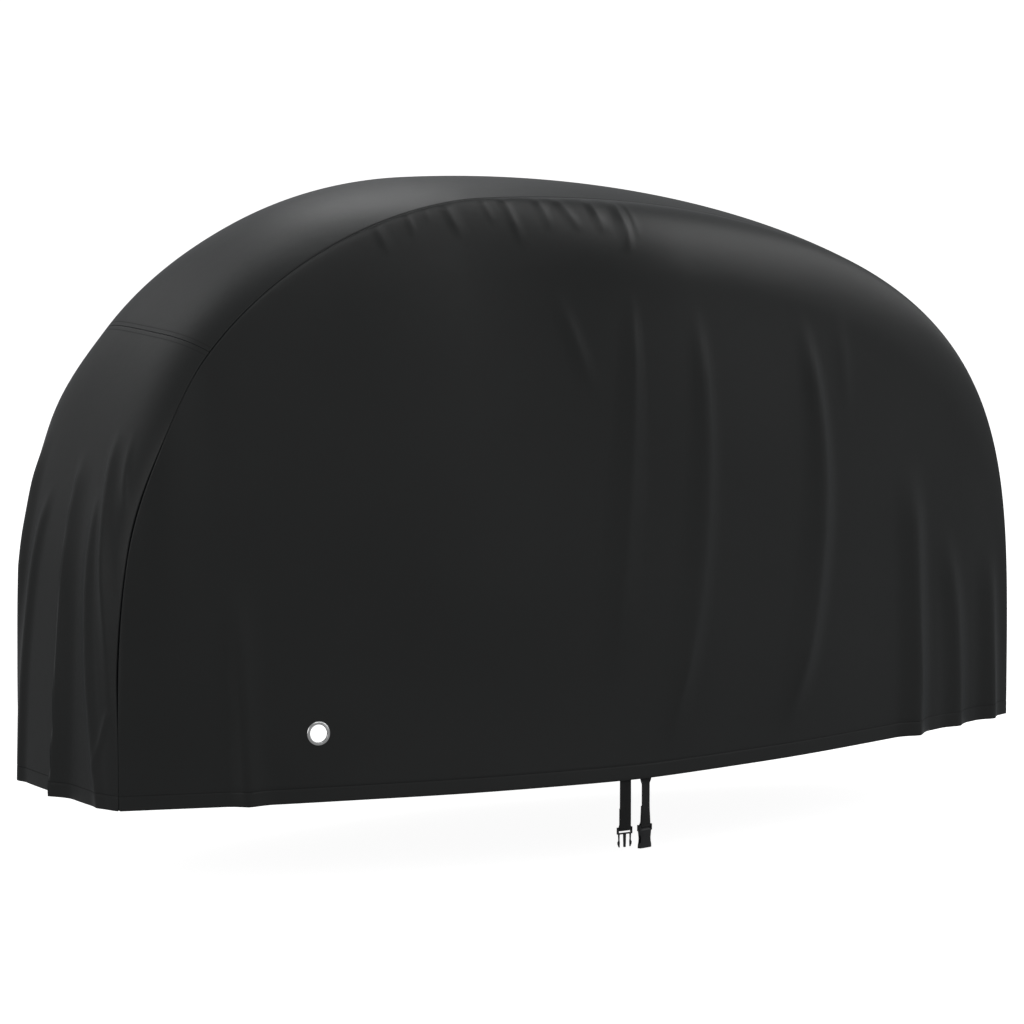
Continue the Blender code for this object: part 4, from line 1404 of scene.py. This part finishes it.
def loft(path: Array, half_width: Array, half_depth: Array, across: Array, through: Array, power: float = 5.0,
         around: int = 32, round_ends: float = 0.0) -> tuple[Array, Array]:
    """A bar with superellipse sections: |a / w| and |t / d| to a power sum to 1.

    With round ends the first and last sections shrink to a point as a quarter superellipse.

    Args:
        path: Centres of the sections, n by 3.
        half_width: Half width of each section.
        half_depth: Half depth of each section.
        across: Unit vector of the width.
        through: Unit vector of the depth.
        power: Power of the sections.
        around: Points round a section.
        round_ends: How far the ends bulge past the path.

    Returns:
        Points and quads; the ends are closed to a point.
    """
    heading = unit(path[-1] - path[0])
    shares = np.array([1.0, 0.75, 0.4, 0.0])
    insets = (1.0 - shares ** power) ** (1.0 / power)
    first = path[0] - heading * round_ends * shares[:, None]
    last = path[-1] + heading * round_ends * shares[::-1, None]
    rings = np.concatenate([first, path[1:-1], last])
    scale = np.concatenate([insets, np.ones(len(path) - 2), insets[::-1]])
    wide = np.concatenate([np.full(4, half_width[0]), half_width[1:-1], np.full(4, half_width[-1])]) * scale
    deep = np.concatenate([np.full(4, half_depth[0]), half_depth[1:-1], np.full(4, half_depth[-1])]) * scale
    theta = np.linspace(0.0, 2.0 * math.pi, around, endpoint=False)
    a, t = rounded(np.cos(theta), power), rounded(np.sin(theta), power)
    points = (rings[:, None] + wide[:, None, None] * a[None, :, None] * across
              + deep[:, None, None] * t[None, :, None] * through)
    faces = grid_faces(len(rings), around, around=True).reshape(-1, 4)
    inside = np.sum(np.cross(across, through) * heading) > 0.0
    return points.reshape(-1, 3), faces if inside else faces[:, ::-1]


@dataclass
class Buckle:
    """One half of the side-release buckle, in its own frame: the bar at the origin, +Z up the strap."""

    name: str
    strap: Strap
    finish: PlasticFinish
    node: str
    half_width: float = 0.0165
    half_slot: float = 0.0134

    def bars(self) -> list[tuple[Array, Array]]:
        """Points and faces of the half's bars."""
        raise NotImplementedError

    def straight(self, start: tuple, end: tuple, width: float, depth: float, across: tuple, through: tuple,
                 power: float = 6.0) -> tuple[Array, Array]:
        """A straight bar of even section with slightly bulging ends.

        Args:
            start: One end.
            end: The other end.
            width: Half width.
            depth: Half depth.
            across: Direction of the width.
            through: Direction of the depth.
            power: Power of the section.

        Returns:
            Points and faces.
        """
        path = np.linspace(start, end, 6)
        return loft(path, np.full(6, width), np.full(6, depth), np.array(across, float), np.array(through, float),
                    power, round_ends=0.0004)

    def frame_bars(self, depth: float, top: float) -> list[tuple[Array, Array]]:
        """The round bar for the strap and the two cheeks that hold it."""
        wide, deep, up = (1.0, 0.0, 0.0), (0.0, 1.0, 0.0), (0.0, 0.0, 1.0)
        cheek = (self.half_width - self.half_slot) / 2.0
        middle = (self.half_width + self.half_slot) / 2.0
        made = [self.straight((-self.half_slot - 0.001, 0.0, 0.0), (self.half_slot + 0.001, 0.0, 0.0), 0.0018,
                              0.0018, deep, up, 2.0)]
        for sign in (-1.0, 1.0):
            made.append(self.straight((sign * middle, 0.0, top), (sign * middle, 0.0, -0.0085), cheek, depth, wide,
                                      deep, 3.6))
        return made

    def build(self) -> bpy.types.Object:
        """Join the bars, turn them with the strap and hang them in its loop.

        Returns:
            The finished piece.
        """
        points, faces, start = [], [], 0
        for bar_points, bar_faces in self.bars():
            points.append(bar_points)
            faces.append(bar_faces + start)
            start += len(bar_points)
        own = np.concatenate(points)
        centre, angle = self.strap.seat()
        turn = np.array([[math.cos(angle), math.sin(angle), 0.0], [-math.sin(angle), math.cos(angle), 0.0],
                         [0.0, 0.0, 1.0]])
        mesh = mesh_from(self.name, own @ turn + centre, np.concatenate(faces))
        return add_piece(self.name, mesh, self.finish.material(self.name + "_plastic"),
                         (self.node,))


class MaleBuckle(Buckle):
    """Bar, two sprung arms with hooked heads and a middle guide."""

    crossbar_z: float = -0.0084
    crossbar_inset: float = 0.0008
    arm_length: float = 0.0256

    def bars(self) -> list[tuple[Array, Array]]:
        """Points and faces of the half's bars: an arm's width swells into its head at two thirds of its length."""
        wide, deep = np.array([1.0, 0.0, 0.0]), np.array([0.0, 1.0, 0.0])
        made = self.frame_bars(0.0028, 0.0032)
        reach = self.half_width - self.crossbar_inset
        made.append(self.straight((-reach, 0.0, self.crossbar_z), (reach, 0.0, self.crossbar_z), 0.0028, 0.0013,
                                  (0.0, 1.0, 0.0), (0.0, 0.0, 1.0), 4.0))
        down = np.linspace(0.0, 1.0, 26)
        z = self.crossbar_z - self.arm_length * down
        outer = np.interp(down, (0.0, 0.30, 0.52, 0.60, 0.68, 0.80, 1.0),
                          (0.0140, 0.0136, 0.0135, 0.0145, 0.0155, 0.0150, 0.0128))
        inner = np.interp(down, (0.0, 0.12, 0.50, 0.62, 1.0), (0.0112, 0.0116, 0.0116, 0.0110, 0.0114))
        depth = np.interp(down, (0.0, 0.5, 0.65, 1.0), (0.0024, 0.0019, 0.0026, 0.0020))
        for sign in (-1.0, 1.0):
            path = np.stack([sign * (outer + inner) / 2.0, np.zeros_like(z), z], axis=-1)
            made.append(loft(path, (outer - inner) / 2.0, depth, wide, deep, 3.2, round_ends=0.0006))
        path = np.stack([np.zeros_like(z), np.zeros_like(z), z - 0.0002], axis=-1)
        made.append(loft(path, 0.0030 - 0.0006 * down, 0.0022 - 0.0004 * down, wide, deep, 3.2, round_ends=0.0008))
        return made


class FemaleBuckle(Buckle):
    """Waisted socket, open below and at its side windows, with a bar above for the strap."""

    def bars(self) -> list[tuple[Array, Array]]:
        """Points and faces of the frame's bars and of the socket's shell."""
        return self.frame_bars(0.0042, 0.0028) + [self.shell()]

    def shell(self) -> tuple[Array, Array]:
        """The socket: an outer and an inner skin of superellipse sections, joined at the mouth and the windows.

        The outer half width follows the waist, and the inner skin lies 1.5 mm inside it.

        Returns:
            Points and faces.
        """
        around, rows = 64, 44
        down = np.linspace(0.0, 1.0, rows)
        z = -0.0044 - 0.0370 * down
        wide = np.interp(down, (0.0, 0.10, 0.25, 0.50, 0.68, 0.85, 1.0),
                         (0.0140, 0.0150, 0.0142, 0.0130, 0.0136, 0.0152, 0.0156))
        deep = np.interp(down, (0.0, 0.08, 0.30, 1.0), (0.0034, 0.0048, 0.0052, 0.0050))
        theta = np.linspace(0.0, 2.0 * math.pi, around, endpoint=False) + math.pi / around
        a, t = rounded(np.cos(theta), 4.5), rounded(np.sin(theta), 4.5)
        skins = []
        for wall in (0.0, 0.0015):
            height = z + wall * (1.0 - down) * 0.9
            skins.append(np.stack(np.broadcast_arrays((wide - wall)[:, None] * a, (deep - wall)[:, None] * t,
                                                      height[:, None]), axis=-1))
        outer = grid_faces(rows, around, around=True, flip=True)
        inner = outer[..., ::-1] + rows * around
        row, column = np.indices(outer.shape[:2])
        face_theta = theta[column] + math.pi / around
        window = (np.abs(np.sin(face_theta)) < 0.30) & (row > rows * 0.30) & (row < rows * 0.72)
        keep = ~window
        mouth = np.stack([np.arange(around), np.roll(np.arange(around), -1)], axis=-1) + (rows - 1) * around
        rims = [np.concatenate([mouth, mouth[:, ::-1] + rows * around], axis=-1)]
        loose = outer[window].reshape(-1, 4)
        sides = np.concatenate([np.stack([loose[:, k], loose[:, (k + 1) % 4]], axis=-1) for k in range(4)])
        code = np.sort(sides, axis=1) @ np.array([rows * around, 1])
        _, first, times = np.unique(code, return_index=True, return_counts=True)
        edge = sides[first[times == 1]]
        rims.append(np.concatenate([edge, edge[:, ::-1] + rows * around], axis=-1))
        points = np.concatenate([skin.reshape(-1, 3) for skin in skins])
        top = np.arange(around)
        half = around // 2
        lower, upper = np.arange(0, half), around - 1 - np.arange(0, half)
        lid = np.stack([top[lower[:-1]], top[upper[:-1]], top[upper[1:]], top[lower[1:]]], axis=-1)
        faces = np.concatenate([outer[keep], inner[keep], *rims, lid, lid[:, ::-1] + rows * around])
        return points, faces


# ---------------------------------------------------------------- stitching
@dataclass
class Stitching:
    """Runs of short thread capsules lying on the cloth."""

    name: str
    finish: ThreadFinish
    pitch: float = 0.0042
    length: float = 0.0033
    radius: float = 0.00035

    def capsule(self) -> tuple[Array, Array]:
        """One stitch along x: six points round five rings, the end rings drawn in.

        Returns:
            Points and quads.
        """
        along = np.array([-0.5, -0.42, 0.0, 0.42, 0.5]) * self.length
        size = np.array([0.45, 0.9, 1.0, 0.9, 0.45]) * self.radius
        theta = np.linspace(0.0, 2.0 * math.pi, 6, endpoint=False)
        ring = np.stack([np.zeros(6), np.cos(theta), np.sin(theta)], axis=-1)
        points = ring[None] * size[:, None, None]
        points[..., 0] = along[:, None]
        faces = grid_faces(5, 6, around=True).reshape(-1, 4)
        ends = np.array([[0, 5, 4, 1], [1, 4, 3, 2], [24, 25, 28, 29], [25, 26, 27, 28]])
        return points.reshape(-1, 3), np.concatenate([faces, ends])

    def build(self, lines: list[tuple[Array, Array]]) -> bpy.types.Object:
        """Lay a stitch at every pitch along each line.

        A stitch's frame is the line's direction, the face's normal, and the vector square to both.

        Args:
            lines: Points of a line and the cloth's outward normals there, each n by 3.

        Returns:
            The finished piece.
        """
        shape, quads = self.capsule()
        points, faces, start = [], [], 0
        for line, normals in lines:
            length = run_along(line)
            places = np.arange(self.pitch / 2.0, length[-1], self.pitch)
            centre = np.stack([np.interp(places, length, line[:, k]) for k in range(3)], axis=-1)
            normal = unit(np.stack([np.interp(places, length, normals[:, k]) for k in range(3)], axis=-1))
            ahead = np.stack([np.interp(places + 0.001, length, line[:, k]) for k in range(3)], axis=-1)
            back = np.stack([np.interp(places - 0.001, length, line[:, k]) for k in range(3)], axis=-1)
            heading = unit(ahead - back)
            beside = unit(np.cross(normal, heading))
            made = (centre[:, None] + shape[None, :, :1] * heading[:, None] + shape[None, :, 1:2] * beside[:, None]
                    + shape[None, :, 2:] * normal[:, None])
            count = len(places)
            points.append(made.reshape(-1, 3))
            faces.append((quads[None] + np.arange(count)[:, None, None] * len(shape)).reshape(-1, 4) + start)
            start += count * len(shape)
        mesh = mesh_from(self.name, np.concatenate(points), np.concatenate(faces))
        return add_piece(self.name, mesh, self.finish.material(self.name + "_thread"))


def line_on(surface: object, first: Array, second: Array, step: float = 1e-3) -> tuple[Array, Array]:
    """A line on a surface of two parameters, with the outward normals along it.

    The normal is the cross product of the surface's two numerical slopes, turned to point away from the middle of
    the hood.

    Args:
        surface: Function of two arrays that gives points.
        first: The first parameter along the line.
        second: The second parameter along the line.
        step: Step for the slopes.

    Returns:
        Points and unit normals.
    """
    points = surface(first, second)
    across = surface(first + step, second) - points
    along = surface(first, second + step) - points
    normal = unit(np.cross(across, along))
    outwards = points - np.array([0.0, 0.0, -0.6])
    sign = np.sign(np.sum(normal * outwards, axis=-1, keepdims=True))
    return points + normal * sign * 0.0002, normal * sign


# ---------------------------------------------------------------- the studio
# name, azimuth and elevation in degrees, width and height in metres, watts
LIGHTS = (
    ("high_rear_light", 75.0, 50.0, (4.0, 3.0), 56.0),
    ("rear_light", 90.0, 25.0, (3.0, 2.5), 22.0),
    ("low_rear_light", 60.0, 30.0, (2.5, 2.5), 18.0),
    ("high_side_light", 0.0, 60.0, (4.0, 3.0), 40.0),
    ("side_light", 45.0, 20.0, (5.0, 3.0), 10.0),
    ("low_side_light", 0.0, 5.0, (6.0, 1.6), 4.0),
    ("front_light", 290.0, 15.0, (4.0, 3.0), 36.0),
    ("far_front_light", 225.0, 15.0, (4.0, 3.0), 8.0),
    ("high_front_light", 200.0, 35.0, (2.5, 2.5), 12.0),
    ("back_light", 160.0, 42.0, (2.0, 2.0), 23.0),
)


@dataclass
class Studio:
    """Floor, lights and camera."""

    floor_z: float = -1.262
    target: tuple[float, float, float] = (-0.0347, 0.0, -0.6344)
    azimuth: float = -30.79
    elevation: float = 8.241
    distance: float = 12.0
    focal_pixels: float = 6197.3
    picture: int = 1024
    sensor: float = 36.0
    light_distance: float = 6.0
    floor_reach: float = 90.0
    floor_glow: float = 0.93
    air_glow: float = 0.226

    def floor(self) -> bpy.types.Object:
        """A wide pale floor. It glows a little, so that it stays nearly white around the black cloth.

        Returns:
            The floor.
        """
        graph = Graph("studio_floor_paint")
        graph.set(Base_Color=(0.82, 0.82, 0.82, 1.0), Roughness=0.9, Specular_IOR_Level=0.1,
                  Emission_Color=(1.0, 1.0, 1.0, 1.0), Emission_Strength=self.floor_glow)
        reach = self.floor_reach
        corners = np.array([[-reach, -reach], [reach, -reach], [reach, reach], [-reach, reach]])
        points = np.concatenate([corners, np.full((4, 1), self.floor_z)], axis=1)
        mesh = mesh_from("studio_floor", points, np.array([[0, 1, 2, 3]]), smooth=False)
        mesh.materials.append(graph.material)
        floor = bpy.data.objects.new("studio_floor", mesh)
        bpy.context.scene.collection.objects.link(floor)
        floor.visible_diffuse = False
        floor.visible_glossy = False
        floor.visible_shadow = False
        return floor

    def light(self, name: str, azimuth: float, elevation: float, size: tuple[float, float], energy: float) -> None:
        """A soft rectangular light that faces the middle of the cover.

        Args:
            name: Name of the light.
            azimuth: Its direction from the cover in degrees, 0 towards -Y and 90 towards +X.
            elevation: Its direction above the horizon in degrees.
            size: Its width and height.
            energy: In watts.
        """
        lamp = bpy.data.lights.new(name, "AREA")
        lamp.shape = "RECTANGLE"
        lamp.size, lamp.size_y = size
        lamp.energy = energy
        holder = bpy.data.objects.new(name, lamp)
        bpy.context.scene.collection.objects.link(holder)
        towards = self.direction(azimuth, elevation)
        holder.location = Vector(self.target) + towards * self.light_distance
        holder.rotation_euler = towards.to_track_quat("Z", "Y").to_euler()

    def direction(self, azimuth: float, elevation: float) -> Vector:
        """Unit vector for an azimuth and an elevation in degrees."""
        turn, rise = math.radians(azimuth), math.radians(elevation)
        return Vector((math.sin(turn) * math.cos(rise), -math.cos(turn) * math.cos(rise), math.sin(rise)))

    def camera(self) -> None:
        """The camera, at the photograph's angle."""
        back = self.direction(self.azimuth, self.elevation)
        data = bpy.data.cameras.new("camera")
        data.sensor_width = self.sensor
        data.lens = self.focal_pixels * self.sensor / self.picture
        data.clip_end = 300.0
        holder = bpy.data.objects.new("camera", data)
        bpy.context.scene.collection.objects.link(holder)
        holder.location = Vector(self.target) + back * self.distance
        holder.rotation_euler = back.to_track_quat("Z", "Y").to_euler()
        bpy.context.scene.camera = holder

    def build(self) -> None:
        """Set up the whole studio."""
        scene = bpy.context.scene
        self.camera()
        self.floor()
        for name, azimuth, elevation, size, energy in LIGHTS:
            self.light(name, azimuth, elevation, size, energy)
        world = bpy.data.worlds.new("studio_air")
        world.use_nodes = True
        background = world.node_tree.nodes["Background"]
        background.inputs["Color"].default_value = (1.0, 1.0, 1.0, 1.0)
        background.inputs["Strength"].default_value = self.air_glow
        scene.world = world
        scene.view_settings.view_transform = "Standard"


def main() -> None:
    """Build the cover piece by piece and set up the studio around it."""
    logging.basicConfig(level=logging.INFO, format="%(name)s: %(message)s")
    form = HoodForm()
    cloth, metal = ClothFinish(), MetalFinish()
    webbing, plastic, thread = WebbingFinish(), PlasticFinish(), ThreadFinish()
    Studio().build()
    left = SidePanel("side_panel_left_cloth", Side.LEFT, form, LEFT_FOLDS, LEFT_PUCKERS, cloth, "side_panel_left")
    right = SidePanel("side_panel_right_cloth", Side.RIGHT, form, RIGHT_FOLDS, RIGHT_PUCKERS, cloth,
                      "side_panel_right")
    seam = float(form.station_at_x(np.array(form.cross_seam_x)))
    low, end = (float(form.station_at_height(np.array(form.hem_z + SHEET.first_row), rear))
                for rear in (False, True))
    gap = SHEET.cross_seam_gap
    front = Gusset("gusset_front_cloth", form, FRONT_FOLDS, cloth, "gusset_front", (low, seam - gap), 0.0055,
                   0.0065, (0.45, 0.93), True)
    over = Gusset("gusset_top_cloth", form, REAR_FOLDS, cloth, "gusset_top", (seam + gap, end), 0.0075, 0.0090,
                  (0.43, 2.68), False)
    pieces = [left.build(), right.build(), front.build(), over.build()]
    pieces += [Eyelet("eyelet_left_ring", left, metal, "eyelet_left").build(),
               Eyelet("eyelet_right_ring", right, metal, "eyelet_right").build()]
    male = Strap("strap_male_webbing", left, webbing, "strap_male", -0.036, 0.094, (0.0, 0.0))
    female = Strap("strap_female_webbing", left, webbing, "strap_female", 0.009, 0.0925, (21.0, 12.0))
    pieces += [male.build(), female.build(),
               MaleBuckle("buckle_male_half", male, plastic, "buckle_male").build(),
               FemaleBuckle("buckle_female_half", female, plastic, "buckle_female").build()]
    x = np.linspace(-0.99, 0.985, 700)
    level = np.full_like(x, form.hem_z + SHEET.hem_depth)
    y = np.linspace(-0.19, 0.19, 120)
    lines = [line_on(panel.place, x, level) for panel in (left, right)]
    for gusset, rear in ((front, False), (over, True)):
        station = float(form.station_at_height(np.array(form.hem_z + SHEET.hem_depth), rear))
        lines.append(line_on(gusset.surface, np.full_like(y, station), y))
    pieces.append(Stitching("hem_stitches", thread).build(lines))
    for piece in pieces:
        LOG.info("%s: %d faces modelled", piece.name, len(piece.data.polygons))


if __name__ == "__main__":
    main()
